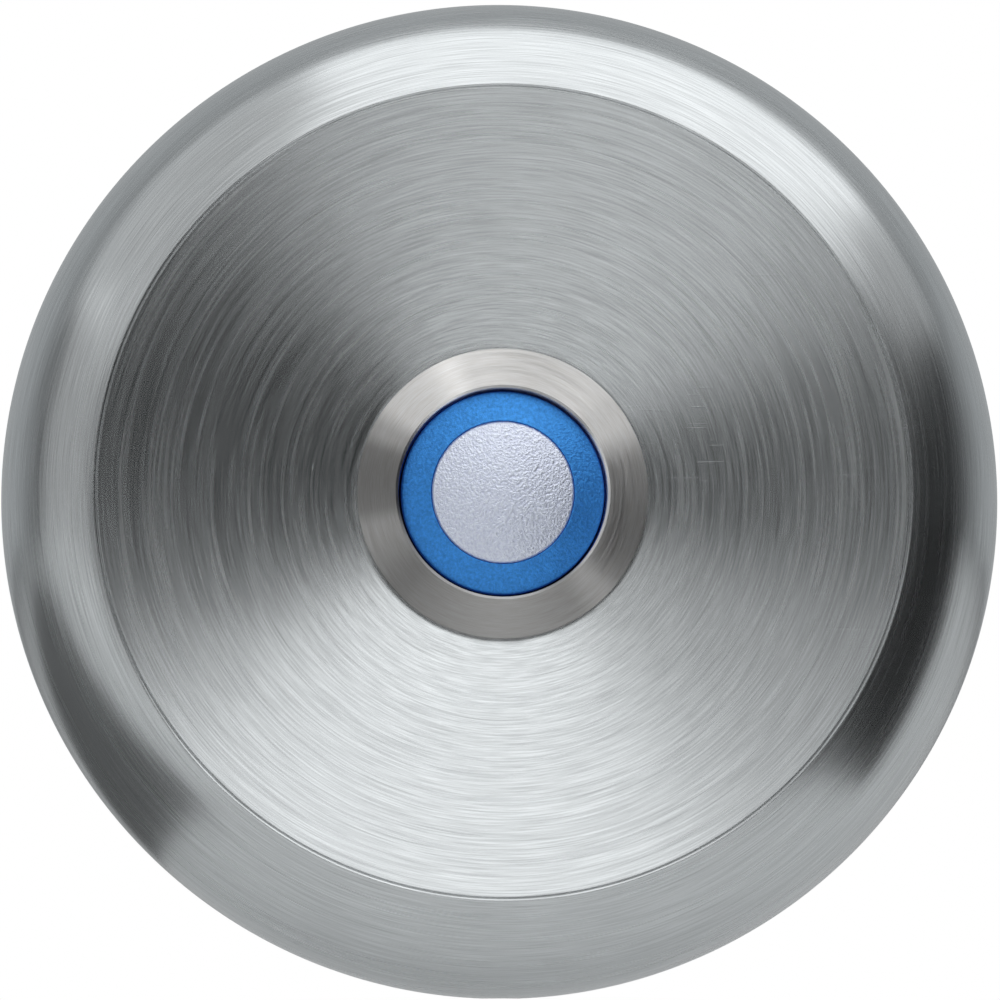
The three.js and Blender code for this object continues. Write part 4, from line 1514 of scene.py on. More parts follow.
@dataclass
class WallFixings:
    """Gasket, wall plate and lock screw."""

    plate_bore: float = 17.5
    screw_height: float = 3.3
    groove_depth: float = 1.5
    slot_spacing: float = 50.0
    slot_width: float = 4.6
    slot_length: float = 9.0
    head_width: float = 8.4
    head_length: float = 12.8
    ledge: float = 2.5
    thread_crest: float = 1.5
    thread_root: float = 1.2
    thread_pitch: float = 0.5
    screw_head: float = 36.9
    screw_tip: float = 31.8
    socket_radius: float = 0.87

    def gasket(self) -> None:
        """Turns the gasket, with two lips that meet the wall."""
        top = front("wall_gasket")
        wide = outer("wall_gasket")
        narrow = wide - 2.8
        valley = 0.3
        line = Outline()
        line.to(narrow, 0, 0.15).to(narrow + 0.8, 0, 0.2).to(narrow + 1.1, valley, 0.15)
        line.to(wide - 1.1, valley, 0.15).to(wide - 0.8, 0, 0.2).to(wide, 0, 0.15)
        line.to(wide, top, 0.2).to(narrow, top, 0.2)
        make_piece(turned(line, 240), "gasket_ring", [GASKET_RUBBER.material()], Body.FIXED,
                   ["wall_gasket"])

    def wall_plate(self) -> None:
        """Turns the wall plate and mills its two counterbored slots."""
        wide = outer("mounting_plate")
        top = front("mounting_plate")
        line = Outline()
        line.to(self.plate_bore, 0, 0.3).to(wide, 0, 0.3)
        line.to(wide, self.screw_height - self.groove_depth, 0.1)
        line.to(wide - self.groove_depth, self.screw_height, 0.2)
        line.to(wide, self.screw_height + self.groove_depth - 0.01, 0.05)
        line.to(wide, top, 0.06).to(self.plate_bore, top, 0.3)
        cutters = []
        for side in (-1, 1):
            x = side * self.slot_spacing / 2
            cutters.append(long_hole(self.slot_width, self.slot_length, -1, top + 1, x))
            cutters.append(long_hole(self.head_width, self.head_length, self.ledge, top + 1, x))
            cutters.append(long_hole(self.head_width - 0.2, self.head_length - 0.2, top - 0.3,
                                     top + 0.5, x, 0.8))
            cutters.append(long_hole(self.slot_width - 0.2, self.slot_length - 0.2, 0.3, -0.5, x, 0.8))
        form = carve(turned(line, 300), *cutters)
        make_piece(form, "wall_plate", [WALL_ALUMINIUM.material()], Body.FIXED,
                   ["mounting_plate"])

    def lock_screw(self) -> None:
        """Makes the cone-point screw with its hexagon socket."""
        low, high = self.screw_tip + 1.3, self.screw_head - 0.3
        core = self.thread_root - 0.03
        line = Outline(closed=False)
        line.to(core, high).to(core, self.screw_head, 0.12).to(0, self.screw_head)
        point = Outline(closed=False)
        point.to(core, low).to(0.25, self.screw_tip + 0.1, 0.1).to(0, self.screw_tip + 0.1)
        form = turned(line, 48)
        join(form, turned(point, 48))
        add_thread(form, self.thread_crest, self.thread_root, self.thread_pitch, low, high, 36)
        key = Outline(closed=False)
        key.to(0, self.screw_head + 1).to(self.socket_radius, self.screw_head + 1)
        key.to(self.socket_radius, self.screw_head - 1.5).to(0, self.screw_head - 2.0)
        form = carve(form, turned(key, 6))
        make_piece(upright(form, self.screw_height), "grub_screw", [BLACK_OXIDE.material()],
                   Body.FIXED, ["lock_screw"])

    def build(self) -> None:
        """Builds the fixings."""
        self.gasket()
        self.wall_plate()
        self.lock_screw()


# ---------------------------------------------------------------------------------------------
# Switch form
# ---------------------------------------------------------------------------------------------


@dataclass
class SwitchBody:
    """The threaded steel body of the switch, and what clamps it in the cover."""

    head_radius: float = 11.0
    thread_crest: float = 9.45
    thread_root: float = 8.9
    thread_pitch: float = 1.0
    bore_radius: float = 7.9
    rear_bore_radius: float = 8.35
    head_height: float = 1.78
    land: float = 0.48
    lip: float = 0.2
    lip_fall: float = 0.13
    stop_below_lip: float = 4.6
    seal_inner: float = 9.85
    seal_outer: float = 10.6
    seal_depth: float = 0.43
    nut_flats: float = 22.0
    steps: int = 256

    def housing(self) -> None:
        """Turns the head and the bore, and cuts the thread."""
        lip, end = front("switch_housing"), rear("switch_housing")
        flange = lip - self.head_height
        stop = lip - self.stop_below_lip
        low, high = end + 0.7, flange - 0.8
        core = self.thread_root - 0.05
        line = Outline(closed=False)
        line.to(core, high).to(core, flange, 0.1)
        line.to(self.seal_inner, flange, 0.05)
        line.to(self.seal_inner, flange + self.seal_depth, 0.1)
        line.to(self.seal_outer, flange + self.seal_depth, 0.1)
        line.to(self.seal_outer, flange, 0.05)
        line.to(self.head_radius, flange, 0.08)
        line.to(self.head_radius, flange + self.land, 0.14)
        line.to(self.bore_radius + self.lip, lip, 0.03)
        line.to(self.bore_radius, lip - self.lip_fall, 0.04)
        line.to(self.bore_radius, stop, 0.05)
        line.to(self.rear_bore_radius, stop, 0.05)
        line.to(self.rear_bore_radius, end, 0.05)
        line.to(core, end, 0.15).to(core, low)
        form = turned(line, self.steps)
        add_thread(form, self.thread_crest, self.thread_root, self.thread_pitch, low, high, 96)
        make_piece(form, "threaded_body", [HEAD_STEEL.material()], Body.FIXED,
                   ["switch_housing"])

    def seal(self) -> None:
        """Turns the seal under the head."""
        low, high = rear("bezel_seal"), front("bezel_seal")
        line = Outline()
        line.to(self.seal_inner + 0.05, low, 0.2).to(self.seal_outer - 0.05, low, 0.2)
        line.to(self.seal_outer - 0.05, high, 0.2).to(self.seal_inner + 0.05, high, 0.2)
        make_piece(turned(line, 192), "head_seal", [SEAL_RUBBER.material()], Body.FIXED,
                   ["bezel_seal"])

    def tooth_washer(self) -> None:
        """Stamps the washer, whose bore is cut into teeth."""
        low, high = rear("lock_washer"), front("lock_washer")
        teeth, per_tooth = 14, 16
        line = Outline(hold=9)
        line.to(9.7, low, 0.08).to(outer("lock_washer"), low, 0.08)
        line.to(outer("lock_washer"), high, 0.12).to(9.7, high, 0.12)
        form = turned(line, teeth * per_tooth)
        for vert in form.verts:
            radius = math.hypot(vert.co.x, vert.co.z)
            share = (math.atan2(vert.co.z, vert.co.x) / TURN * teeth) % 1
            if radius < 10.2 * MM:
                gap_share = min(1.0, max(0.0, 2.6 - 8 * abs(share - 0.35)))
                stretch = 1 + 0.9 * MM * gap_share / radius
                vert.co.x *= stretch
                vert.co.z *= stretch
        make_piece(form, "tooth_washer", [ZINC.material()], Body.FIXED, ["lock_washer"])

    def nut(self) -> None:
        """Makes the thin nut: turned, then its outside brought in to a hexagon."""
        low, high = rear("panel_nut"), front("panel_nut")
        across = self.nut_flats / 2
        circle = across - 0.3
        bore = self.thread_crest + 0.1
        line = Outline(hold=9)
        line.to(bore + 0.35, low).to(circle, low).to(across + 1, low + 0.6)
        line.to(across + 1, high - 0.6).to(circle, high).to(bore + 0.35, high)
        line.to(bore, high - 0.4)
        for k in range(3):
            line.to(bore, high - 0.5 - 0.5 * k).to(bore + 0.25, high - 0.75 - 0.5 * k)
        line.to(bore, low + 0.4)
        form = turned(line, 192)
        middle = (low + high) / 2
        for vert in form.verts:
            radius = math.hypot(vert.co.x, vert.co.z) / MM
            if radius > across:
                turn = math.atan2(vert.co.z, vert.co.x)
                reach = across / math.cos((turn + TURN / 12) % (TURN / 6) - TURN / 12)
                edge = (high - low) / 2 - (reach - circle) * math.tan(math.radians(20))
                vert.co.x *= reach / radius
                vert.co.z *= reach / radius
                vert.co.y = -(middle + math.copysign(edge, -vert.co.y / MM - middle)) * MM
        make_piece(form, "thin_nut", [NICKEL.material()], Body.FIXED, ["panel_nut"])

    def build(self) -> None:
        """Builds the body of the switch."""
        self.housing()
        self.seal()
        self.tooth_washer()
        self.nut()


# ---------------------------------------------------------------------------------------------
# Button
# ---------------------------------------------------------------------------------------------


@dataclass
class PushButton:
    """What travels with the finger."""

    lens_radius: float = 7.68
    lens_fall: float = 0.5
    skirt_radius: float = 8.2
    cap_radius: float = 5.35
    cap_rise: float = 0.85
    stub_radius: float = 1.5
    tip_radius: float = 1.0
    ring_seat: float = 6.72
    ring_section: float = 0.53
    ring_below_top: float = 2.3
    spring_well: float = 3.75
    boss_outer: float = 2.6
    rod_head: float = 2.2
    steps: int = 256

    def ring(self) -> None:
        """Turns the lit ring, with its groove for the O-ring and its skirt."""
        top, bottom = front("light_ring"), rear("light_ring")
        stop = top - 4.2
        groove = top - self.ring_below_top
        well_roof = bottom + 1.5
        inner = self.cap_radius + 0.05
        line = Outline()
        line.to(self.rod_head + 0.1, bottom, 0.05).to(self.rod_head + 0.1, top - 1.85, 0.05)
        line.to(self.stub_radius + 0.05, top - 1.85, 0.03)
        line.to(self.stub_radius + 0.05, top - 0.45, 0.03)
        line.to(inner, top - 0.45, 0.03).to(inner, top, 0.06)
        line.to(self.lens_radius, top - self.lens_fall, 0.18)
        line.to(self.lens_radius, groove + 0.6, 0.08).to(self.ring_seat, groove + 0.6, 0.1)
        line.to(self.ring_seat, groove - 0.6, 0.1).to(self.lens_radius, groove - 0.6, 0.08)
        line.to(self.lens_radius, stop - 0.1, 0.1).to(self.skirt_radius, stop - 0.1, 0.08)
        line.to(self.skirt_radius, bottom, 0.08).to(self.spring_well, bottom, 0.08)
        line.to(self.spring_well, well_roof, 0.15).to(self.boss_outer, well_roof, 0.15)
        line.to(self.boss_outer, bottom, 0.05)
        make_piece(turned(line, self.steps), "lit_ring", [RING_BLUE.material()], Body.BUTTON,
                   ["light_ring"])

    def cap(self) -> None:
        """Turns the domed cap."""
        crown, bottom = front("push_cap"), rear("push_cap")
        seat = bottom + 1.4
        dome = (self.cap_radius ** 2 + self.cap_rise ** 2) / (2 * self.cap_rise)
        edge = math.degrees(math.asin((self.cap_radius - 0.1) / dome))
        line = Outline(closed=False)
        line.to(0, bottom).to(self.stub_radius, bottom, 0.15).to(self.stub_radius, seat, 0.05)
        line.to(self.cap_radius, seat, 0.05)
        line.to(self.cap_radius, crown - self.cap_rise - 0.09, 0.07)
        line.arc(0, crown - dome, dome, edge, 0, 28)
        make_piece(turned(line, self.steps), "silver_cap", [CAP_SILVER.material()], Body.BUTTON,
                   ["push_cap"])

    def push_rod(self) -> None:
        """Turns the push rod that reaches from the lens to the contacts."""
        top, end = front("plunger"), rear("plunger")
        lens_bottom = rear("light_ring")
        shoulder = front("contact_spring")
        clip_top, clip_low = front("retaining_clip") + 0.05, rear("retaining_clip") - 0.05
        line = Outline(closed=False)
        line.to(0, end).to(self.tip_radius, end, 0.2)
        line.to(self.tip_radius, clip_low, 0.03).to(0.7, clip_low, 0.03)
        line.to(0.7, clip_top, 0.03).to(self.tip_radius, clip_top, 0.03)
        line.to(self.tip_radius, shoulder, 0.05).to(self.stub_radius, shoulder, 0.1)
        line.to(self.stub_radius, lens_bottom + 0.3, 0.1)
        line.to(self.rod_head, lens_bottom + 0.3, 0.1).to(self.rod_head, top, 0.15)
        line.to(0, top)
        make_piece(turned(line, 64), "push_rod", [ACETAL.material()], Body.BUTTON, ["plunger"])

    def o_ring(self) -> None:
        """Turns the O-ring that seals the button in its bore."""
        middle = (front("actuator_seal") + rear("actuator_seal")) / 2
        line = Outline()
        line.arc(self.ring_seat + 0.05 + self.ring_section, middle, self.ring_section, 0, 342, 19)
        make_piece(turned(line, 160), "o_ring", [SEAL_RUBBER.material()], Body.BUTTON,
                   ["actuator_seal"])

    def clip(self) -> None:
        """Bends the open clip at the end of the rod."""
        low, high = rear("retaining_clip"), front("retaining_clip")
        mouth = math.radians(40)
        line = Outline()
        line.to(0.8, low, 0.04).to(2.0, low, 0.05).to(2.0, high, 0.05).to(0.8, high, 0.04)
        form = turned(line, 72, sweep=TURN - 2 * mouth)
        twist(form, mouth)
        make_piece(form, "e_clip", [SPRING_STEEL.material()], Body.BUTTON, ["retaining_clip"])

    def build(self) -> None:
        """Builds the button."""
        self.ring()
        self.cap()
        self.push_rod()
        self.o_ring()
        self.clip()


# ---------------------------------------------------------------------------------------------
# Lamps
# ---------------------------------------------------------------------------------------------


@dataclass
class Lamps:
    """Ring board with its lamps, resistors and leads."""

    board_bore: float = 3.8
    chip_circle: float = 5.9
    lead_radius: float = 0.4
    lead_place: float = 6.0

    def board(self) -> None:
        """Makes the board, with two ring tracks under its varnish."""
        low, top = rear("led_board"), front("led_board")
        wide = outer("led_board")
        line = Outline()
        line.to(self.board_bore, low, 0.03).to(wide, low, 0.03).to(wide, top, 0.03)
        for track in (6.9, 4.7):
            line.to(track + 0.3, top).to(track + 0.27, top + 0.03)
            line.to(track - 0.27, top + 0.03).to(track - 0.3, top)
        line.to(self.board_bore, top, 0.03)
        holes = [bar(self.lead_radius + 0.1, low - 1, top + 1, 0, z, 24)
                 for z in (-self.lead_place, self.lead_place)]
        make_piece(carve(turned(line, 120), *holes), "ring_board", [BOARD.material()],
                   Body.FIXED, ["led_board"])

    def lamp(self, number: int, angle: float) -> None:
        """Makes one surface-mounted lamp.

        Args:
            number: Number of the lamp.
            angle: Its place round the board, in degrees.
        """
        node = f"led_{number}"
        low, high = rear(node), front(node)
        form = block((-0.65, low, -0.88), (0.65, high, 0.88))
        soften(form, 0.05)
        cup = Outline(closed=False)
        cup.to(0, high - 0.35).to(0.36, high - 0.35).to(0.5, high + 0.1).to(0, high + 0.1)
        form = carve(form, turned(cup, 32))
        gel = Outline(closed=False)
        gel.to(0, high - 0.34).to(0.35, high - 0.34).to(0.44, high - 0.08)
        gel.arc(0, high - 1.1, 1.1, 21, 0, 5)
        join(form, turned(gel, 32), finish=1)
        for side in (-1, 1):
            ends = sorted((side * 0.82, side * 1.0))
            foot = block((-0.45, low, ends[0]), (0.45, low + 0.42, ends[1]))
            soften(foot, 0.03)
            join(form, foot, finish=2)
        self.seat(form, angle)
        finishes = [LAMP_BODY.material(), LAMP_GEL.material(), TIN.material()]
        make_piece(form, f"lamp_{number}", finishes, Body.FIXED, [node])

    def resistor(self, number: int, angle: float) -> None:
        """Makes one chip resistor.

        Args:
            number: Number of the resistor.
            angle: Its place round the board, in degrees.
        """
        node = f"resistor_{number}"
        low, high = rear(node), front(node)
        form = block((-0.6, low + 0.02, -0.62), (0.6, high - 0.04, 0.62))
        soften(form, 0.03)
        for side in (-1, 1):
            ends = sorted((side * 0.6, side * 1.0))
            cap = block((-0.62, low, ends[0]), (0.62, high, ends[1]))
            soften(cap, 0.06)
            join(form, cap, finish=1)
        self.seat(form, angle)
        make_piece(form, f"chip_resistor_{number}", [RESISTOR.material(), TIN.material()],
                   Body.FIXED, [node])

    def seat(self, form: bmesh.types.BMesh, angle: float) -> None:
        """Moves a chip out to its circle on the board and round to its place."""
        bmesh.ops.translate(form, verts=form.verts, vec=(self.chip_circle * MM, 0, 0))
        twist(form, -math.radians(angle))

    def lead(self, sign: str, side: int) -> None:
        """Makes one lamp lead, soldered to the board.

        Args:
            sign: plus or minus.
            side: 1 above the axis, -1 below it.
        """
        node = f"led_pin_{sign}"
        end, top = rear(node), front(node)
        board = front("led_board")
        r = self.lead_radius
        line = Outline(closed=False)
        line.to(0, end).to(0.22, end, 0.05).to(r, end + 0.35, 0.1).to(r, board - 1.1)
        line.to(r, board + 0.001).to(0.85, board + 0.035, 0.02).to(0.5, board + 0.16, 0.12)
        line.to(r, top - 0.05, 0.04).to(0, top)
        form = turned(line, 32)
        bmesh.ops.translate(form, verts=form.verts, vec=(0, 0, side * self.lead_place * MM))
        make_piece(form, f"lamp_lead_{sign}", [TIN.material()], Body.FIXED, [node])

    def build(self) -> None:
        """Builds the board and all that is on it."""
        self.board()
        for k in range(4):
            self.lamp(k + 1, 45 + 90 * k)
        for k in range(2):
            self.resistor(k + 1, 180 * k)
        self.lead("plus", 1)
        self.lead("minus", -1)


# ---------------------------------------------------------------------------------------------
# Contacts
# ---------------------------------------------------------------------------------------------


@dataclass
class Contacts:
    """Mouldings, terminals and contacts at the rear of the switch."""

    chamber_x: float = 13.4
    chamber_z: float = 7.0
    insert_radius: float = 8.25
    rod_hole: float = 1.6
    spring_well: float = 3.8
    chamber_depth: float = 5.3
    contact_x: float = 4.3
    blade_x: float = 5.6
    blade_width: float = 2.8
    strip: float = 0.5
    pin_z: float = 6.0
    pin_hole: float = 0.5
    resin_depth: float = 0.8

    def passages(self, low: float, high: float, slack: float) -> list[bmesh.types.BMesh]:
        """Cutters for the two blades and the two lamp leads.

        Args:
            low: Lower end of the cutters.
            high: Upper end.
            slack: Room left round each blade.

        Returns:
            The cutters.
        """
        made = [bar(self.pin_hole, low, high, 0, z, 24) for z in (-self.pin_z, self.pin_z)]
        half_x, half_z = self.strip / 2 + slack, self.blade_width / 2 + slack
        for side in (-1, 1):
            x = side * self.blade_x
            made.append(block((x - half_x, low, -half_z), (x + half_x, high, half_z)))
        return made

    def insert(self) -> None:
        """Moulds the insert that guides the push rod, with the contact chamber behind."""
        top, end = front("guide_body"), rear("guide_body")
        floor = rear("return_spring")
        line = Outline()
        line.to(self.rod_hole, end, 0.05).to(self.insert_radius, end, 0.2)
        line.to(self.insert_radius, top, 0.25).to(self.spring_well, top, 0.25)
        line.to(self.spring_well, floor, 0.1).to(self.rod_hole, floor, 0.2)
        ceiling = end + self.chamber_depth
        half_x, half_z = self.chamber_x / 2, self.chamber_z / 2
        chamber = block((-half_x, end - 1, -half_z), (half_x, ceiling, half_z))
        pins = [bar(self.pin_hole, end - 1, top + 1, 0, z, 24) for z in (-self.pin_z, self.pin_z)]
        make_piece(carve(turned(line, 128), chamber, *pins), "insert_moulding",
                   [NYLON.material()], Body.FIXED, ["guide_body"])

    def base(self) -> None:
        """Moulds the base that closes the barrel."""
        boss, end = front("contact_base"), rear("contact_base")
        wide = outer("contact_base")
        flange = end + 2.25
        line = Outline(closed=False)
        line.to(0, end + self.resin_depth).to(7.6, end + self.resin_depth, 0.1)
        line.to(7.6, end, 0.12).to(8.6, end, 0.15).to(wide, end + 0.4, 0.15)
        line.to(wide, flange, 0.1).to(8.2, flange, 0.05).to(8.2, flange - 0.35, 0.05)
        line.to(7.9, flange - 0.35, 0.05).to(7.9, flange, 0.05).to(0, flange)
        form = turned(line, 160)
        half_x, half_z = self.chamber_x / 2 - 0.1, self.chamber_z / 2 - 0.1
        pedestal = block((-half_x, flange - 0.6, -half_z), (half_x, boss, half_z))
        soften(pedestal, 0.15)
        form = carve(form, pedestal, operation="UNION")
        notches = []
        for k in range(12):
            groove = block((-0.28, end - 1, 8.86), (0.28, flange + 1, 9.6))
            notches.append(twist(groove, TURN * k / 12))
        form = carve(form, *self.passages(end - 1, boss + 1, 0.05), *notches)
        make_piece(form, "base_moulding", [NYLON.material()], Body.FIXED, ["contact_base"])

    def resin(self) -> None:
        """Pours the resin: it creeps up the wall in a fine meniscus."""
        end, inner = rear("rear_potting"), front("rear_potting")
        wide = outer("rear_potting")
        line = Outline(closed=False)
        line.to(0, inner).to(wide, inner, 0.1).to(wide, end, 0.03)
        line.to(wide - 0.12, end + 0.1, 0.1).to(wide - 0.5, end + 0.22, 0.3)
        line.to(0, end + 0.26)
        form = turned(line, 128)
        slack = 0.03
        make_piece(carve(form, *self.passages(end - 1, inner + 1, slack)), "resin_fill",
                   [RESIN.material()], Body.FIXED, ["rear_potting"])

    def blade(self, node: str, name: str, side: int) -> None:
        """Bends one terminal: a foot under the contact and a blade out of the back.

        Args:
            node: CAD node that it stands for.
            name: Name of the piece.
            side: 1 to the right of the axis, -1 to the left.
        """
        top, end = front(node), rear(node)
        outside = self.blade_x + self.strip / 2
        inside = self.blade_x - self.strip / 2
        foot = self.contact_x - 1.1
        half = self.blade_width / 2
        section = Outline(closed=True, hold=9)
        section.to(foot, top).to(outside, top, 0.6).to(outside, end + 0.5, 0.0)
        section.to(outside - 0.14, end).to(inside + 0.14, end).to(inside, end + 0.5)
        section.to(inside, top - self.strip, 0.12).to(foot, top - self.strip)
        flat = [point - Vector((0, 0, half * MM)) for point in section.points()]
        form = pushed_out(flat, Vector((0, 0, 2 * half * MM)))
        for vert in form.verts:
            taper = max(0.0, (end + 0.5) * MM + vert.co.y)
            vert.co.z -= math.copysign(taper, vert.co.z)
        soften(form, 0.05)
        hole = twist(bar(0.6, -2, 2, 0, 0, 32), TURN / 4, "Z")
        bmesh.ops.translate(hole, verts=hole.verts,
                            vec=(self.blade_x * MM, -(end + 1.6) * MM, 0))
        form = carve(form, hole)
        if side < 0:
            twist(form, TURN / 2)
        make_piece(form, name, [TIN.material()], Body.FIXED, [node])

    def contact(self, node: str, name: str, rides_on: Body, facing: int) -> None:
        """Makes one silver contact with a domed face.

        Args:
            node: CAD node that it stands for.
            name: Name of the piece.
            rides_on: Body that it rides on.
            facing: 1 if its dome faces the front, -1 if it faces the rear.
        """
        low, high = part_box(node)
        middle = (low.x + high.x) / 2
        radius = (high.x - low.x) / 2 / MM
        height = (high.y - low.y) / MM
        rise = 0.14
        dome = (radius ** 2 + rise ** 2) / (2 * rise)
        edge = math.degrees(math.asin((radius - 0.04) / dome))
        line = Outline(closed=False)
        line.to(0, 0).to(radius, 0, 0.05).to(radius, height - rise - 0.02, 0.04)
        line.arc(0, height - dome, dome, edge, 0, 8)
        form = turned(line, 40)
        if facing < 0:
            twist(form, TURN / 2, "Z")
        foot = high.y if facing > 0 else low.y
        bmesh.ops.translate(form, verts=form.verts, vec=(middle, foot, 0))
        make_piece(form, name, [SILVER.material()], rides_on, [node])

    def bridge(self) -> None:
        """Stamps the contact bridge."""
        low, high = rear("contact_bridge"), front("contact_bridge")
        long, half, wide, waist = outer("contact_bridge"), 1.6, 2.1, 2.4
        quarter = [(long, half - 0.5), (long - 0.5, half), (waist, half), (1.4, wide)]
        right = quarter + [(-x, z) for x, z in reversed(quarter)]
        outline = right + [(-x, -z) for x, z in right]
        flat = [Vector((x, -low, z)) * MM for x, z in outline]
        form = pushed_out(flat, Vector((0, -(high - low) * MM, 0)))
        soften(form, 0.06)
        form = carve(form, bar(1.1, low - 1, high + 1, 0, 0, 48))
        make_piece(form, "bridge_strip", [BRONZE.material()], Body.BRIDGE, ["contact_bridge"])

    def build(self) -> None:
        """Builds the rear of the switch."""
        self.insert()
        self.base()
        self.resin()
        self.blade("terminal_common", "blade_common", -1)
        self.blade("terminal_switched", "blade_switched", 1)
        for side in ("left", "right"):
            self.contact(f"fixed_contact_{side}", f"anvil_{side}", Body.FIXED, 1)
            self.contact(f"moving_contact_{side}", f"rivet_{side}", Body.BRIDGE, -1)
        self.bridge()


# ---------------------------------------------------------------------------------------------
# Springs
# ---------------------------------------------------------------------------------------------


@dataclass
class CoilSpring:
    """A compression spring with closed, ground ends."""

    node: str
    name: str
    coil_radius: float
    wire_radius: float
    turns: float
    still_share: float  # how far the spring's rear end already follows the button, 0 to 1

    def build(self) -> None:
        """Winds the spring and stretches it between its seats."""
        low, high = rear(self.node), front(self.node)
        closed_pitch = 2.04 * self.wire_radius
        start = low + 0.5 * self.wire_radius
        rise = high - low - self.wire_radius - 2 * closed_pitch
        form = bmesh.new()
        bmesh.ops.create_circle(form, cap_ends=True, segments=12, radius=self.wire_radius * MM,
                                matrix=Matrix.Translation((self.coil_radius * MM, -start * MM, 0)))
        section = list(form.edges)
        for turns, climb in ((1.0, closed_pitch), (self.turns, rise), (1.0, closed_pitch)):
            section = wind(form, section, turns, climb, 36)
        bmesh.ops.remove_doubles(form, verts=form.verts, dist=WELD)
        bmesh.ops.holes_fill(form, edges=form.edges, sides=0)
        for height, side in ((low + 0.02, -1), (high - 0.02, 1)):
            bmesh.ops.holes_fill(form, edges=trim(form, height, side), sides=0)
        bmesh.ops.recalc_face_normals(form, faces=form.faces)
        piece = make_piece(form, self.name, [SPRING_STEEL.material()], None, [self.node],
                           crease=50)
        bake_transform(piece)


# ---------------------------------------------------------------------------------------------
# Studio
# ---------------------------------------------------------------------------------------------


@dataclass(frozen=True)
class Softbox:
    """A soft studio light."""

    name: str
    place: Place
    facing: Place
    size: tuple[float, float]
    brightness: float
    colour: Colour = (1.0, 1.0, 1.0)

    def put(self) -> None:
        """Hangs the light."""
        lamp = bpy.data.lights.new(self.name, "AREA")
        lamp.shape = "RECTANGLE"
        lamp.size, lamp.size_y = self.size
        lamp.energy = self.brightness * math.pi * self.size[0] * self.size[1]
        lamp.color = self.colour
        holder = bpy.data.objects.new(self.name, lamp)
        holder.location = self.place
        holder.rotation_euler = Vector(self.facing).to_track_quat("-Z", "Y").to_euler()
        holder.visible_camera = False
        bpy.context.scene.collection.objects.link(holder)


def stand(bm: bmesh.types.BMesh, name: str, finish: Paper) -> bpy.types.Object:
    """Puts a piece of the studio up.

    Args:
        bm: Its mesh. It is freed.
        name: Its name.
        finish: Its finish.

    Returns:
        Its object.
    """
    mesh = bpy.data.meshes.new(name)
    bm.to_mesh(mesh)
    bm.free()
    mesh.materials.append(finish.material())
    holder = bpy.data.objects.new(name, mesh)
    bpy.context.scene.collection.objects.link(holder)
    return holder


@dataclass(frozen=True)
class Flag:
    """A dark card that darkens one side of the reflections."""

    name: str
    low: Place  # corner with the lower x, height and z, in millimetres
    high: Place
    finish: Paper

    def put(self) -> None:
        """Puts the card up."""
        card = stand(block(self.low, self.high), self.name, self.finish)
        card.visible_camera = False
        card.visible_diffuse = False
        card.visible_shadow = False


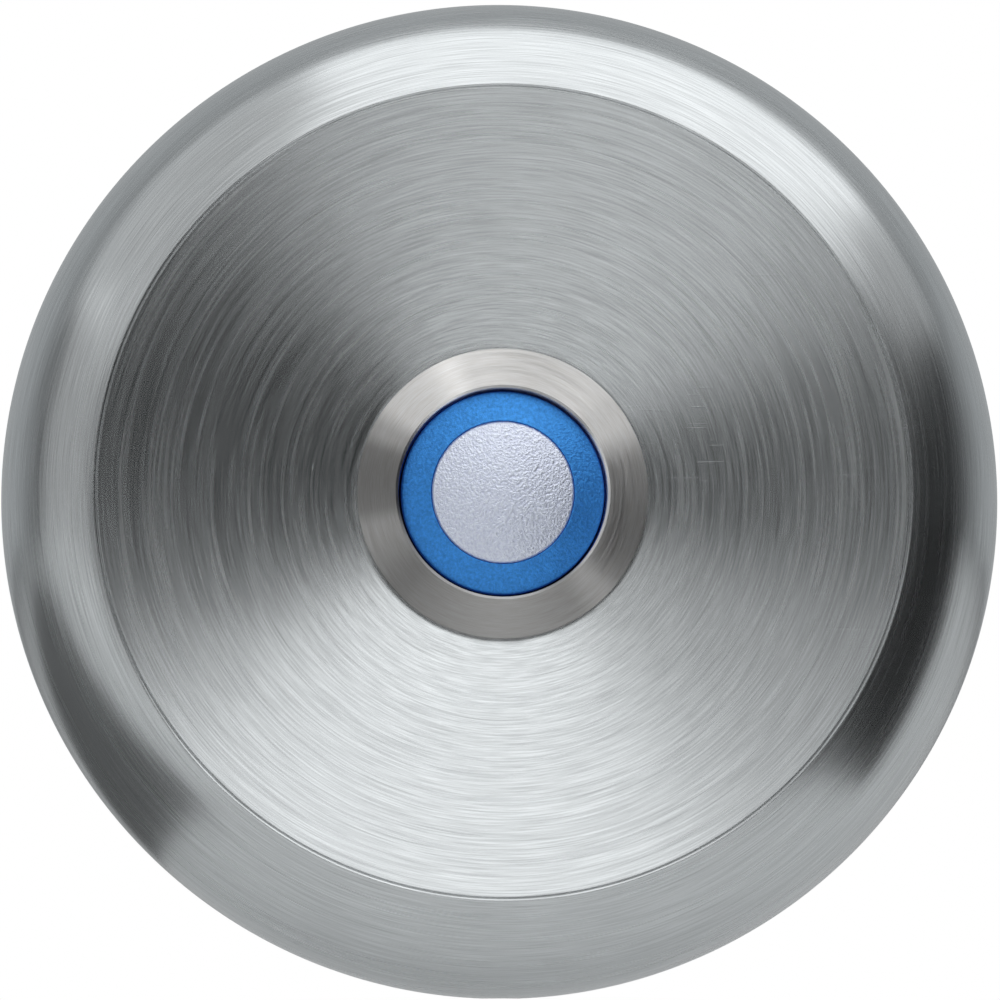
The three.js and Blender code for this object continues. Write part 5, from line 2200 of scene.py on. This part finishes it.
@dataclass
class Studio:
    """Camera, lights, pale floor and surroundings."""

    azimuth: float = -1.8
    elevation: float = -4.6
    distance: float = 0.6
    view_width: float = 0.0763
    aim_height: float = 4.6
    floor_drop: float = 0.037
    ceiling: float = 0.8

    def camera(self) -> None:
        """Puts the camera a little below and to the left of the plate's axis."""
        lens = bpy.data.cameras.new("camera")
        lens.sensor_width = 36.0
        lens.lens = lens.sensor_width * self.distance / self.view_width
        lens.clip_start = 0.01
        holder = bpy.data.objects.new("camera", lens)
        a, e = math.radians(self.azimuth), math.radians(self.elevation)
        back = Vector((math.sin(a) * math.cos(e), -math.cos(a) * math.cos(e), math.sin(e)))
        holder.location = Vector((0, -self.aim_height * MM, 0)) + back * self.distance
        holder.rotation_euler = back.to_track_quat("Z", "Y").to_euler()
        bpy.context.scene.collection.objects.link(holder)
        bpy.context.scene.camera = holder

    def lights(self) -> None:
        """Hangs the soft lights."""
        top = self.ceiling
        down, right = (0, 0, -1), (1, 0, 0)
        boxes = [
            Softbox("overhead_wide", (-0.2, -2.25, top), down, (2.6, 4.7), 0.6),
            Softbox("overhead_core", (0.3, -2.25, top - 0.02), down, (1.2, 4.7), 0.85),
            Softbox("overhead_wing", (1.45, -0.95, top), down, (0.7, 2.1), 0.45),
            Softbox("left_fill", (-0.8, -0.8, 0.22), right, (1.3, 0.55), 0.48),
        ]
        for softbox in boxes:
            softbox.put()

    def floor(self) -> None:
        """Lays the pale floor, and sets up the dark cards that the camera does not see."""
        level = (cad_low.z / MM - self.floor_drop / MM)
        flags = [
            Flag("right_flag", (98, 20, level + 4), (100, 2000, 0), FLAG_CLOTH),
            Flag("left_flag", (-280, 500, level + 4), (-278, 3000, 0), FLAG_CLOTH),
            Flag("corner_card", (-600, -150, level), (-75, 100, level + 1), GREY_CARD),
        ]
        for flag in flags:
            flag.put()
        sheet = bmesh.new()
        bmesh.ops.create_grid(sheet, x_segments=1, y_segments=1, size=2.5,
                              matrix=Matrix.Translation((0, 0, level * MM)))
        stand(sheet, "floor", FLOOR_PAPER)

    def surroundings(self) -> None:
        """Makes the pale background that is seen and the dimmer room that is reflected."""
        world = bpy.data.worlds.new("studio")
        bpy.context.scene.world = world
        world.use_nodes = True
        nodes, links = world.node_tree.nodes, world.node_tree.links
        nodes.clear()
        direction = nodes.new("ShaderNodeTexCoord")
        direction.label = "Direction"
        direction.location = (-1000, 0)
        parts = nodes.new("ShaderNodeSeparateXYZ")
        parts.label = "How far behind the plate"
        parts.location = (-820, 0)
        glow = nodes.new("ShaderNodeMapRange")
        glow.label = "Dim in front, paler behind"
        glow.interpolation_type = "SMOOTHSTEP"
        glow.inputs["From Min"].default_value = -0.35
        glow.inputs["From Max"].default_value = 0.6
        glow.inputs["To Min"].default_value = 0.03
        glow.inputs["To Max"].default_value = 0.5
        glow.location = (-640, 0)
        seen_by = nodes.new("ShaderNodeLightPath")
        seen_by.label = "Who looks"
        seen_by.location = (-400, 300)
        room = nodes.new("ShaderNodeBackground")
        room.label = "Dim studio"
        room.inputs["Color"].default_value = (0.96, 0.985, 1.0, 1)
        room.location = (-400, 0)
        backdrop = nodes.new("ShaderNodeBackground")
        backdrop.label = "Pale backdrop"
        backdrop.inputs["Color"].default_value = (1, 1, 1, 1)
        backdrop.inputs["Strength"].default_value = 1.0
        backdrop.location = (-400, -160)
        choose = nodes.new("ShaderNodeMixShader")
        choose.label = "Backdrop for the camera only"
        choose.location = (-150, 60)
        out = nodes.new("ShaderNodeOutputWorld")
        out.label = "Surroundings"
        out.location = (80, 60)
        links.new(direction.outputs["Generated"], parts.inputs["Vector"])
        links.new(parts.outputs["Y"], glow.inputs["Value"])
        links.new(glow.outputs["Result"], room.inputs["Strength"])
        links.new(seen_by.outputs["Is Camera Ray"], choose.inputs["Fac"])
        links.new(room.outputs["Background"], choose.inputs[1])
        links.new(backdrop.outputs["Background"], choose.inputs[2])
        links.new(choose.outputs["Shader"], out.inputs["Surface"])
        bpy.context.scene.view_settings.view_transform = "Standard"


# ---------------------------------------------------------------------------------------------
# Main
# ---------------------------------------------------------------------------------------------


def main() -> None:
    """Builds the picture in order."""
    logging.basicConfig(level=logging.INFO, format="%(name)s: %(message)s")
    studio = Studio()
    studio.camera()
    studio.lights()
    studio.surroundings()
    studio.floor()
    Cover().build()
    WallFixings().build()
    SwitchBody().build()
    PushButton().build()
    Lamps().build()
    Contacts().build()
    CoilSpring("return_spring", "big_coil", 3.15, 0.25, 5.5, 0.0).build()
    CoilSpring("contact_spring", "small_coil", 1.23, 0.14, 4.5, 0.75).build()


if __name__ == "__main__":
    main()
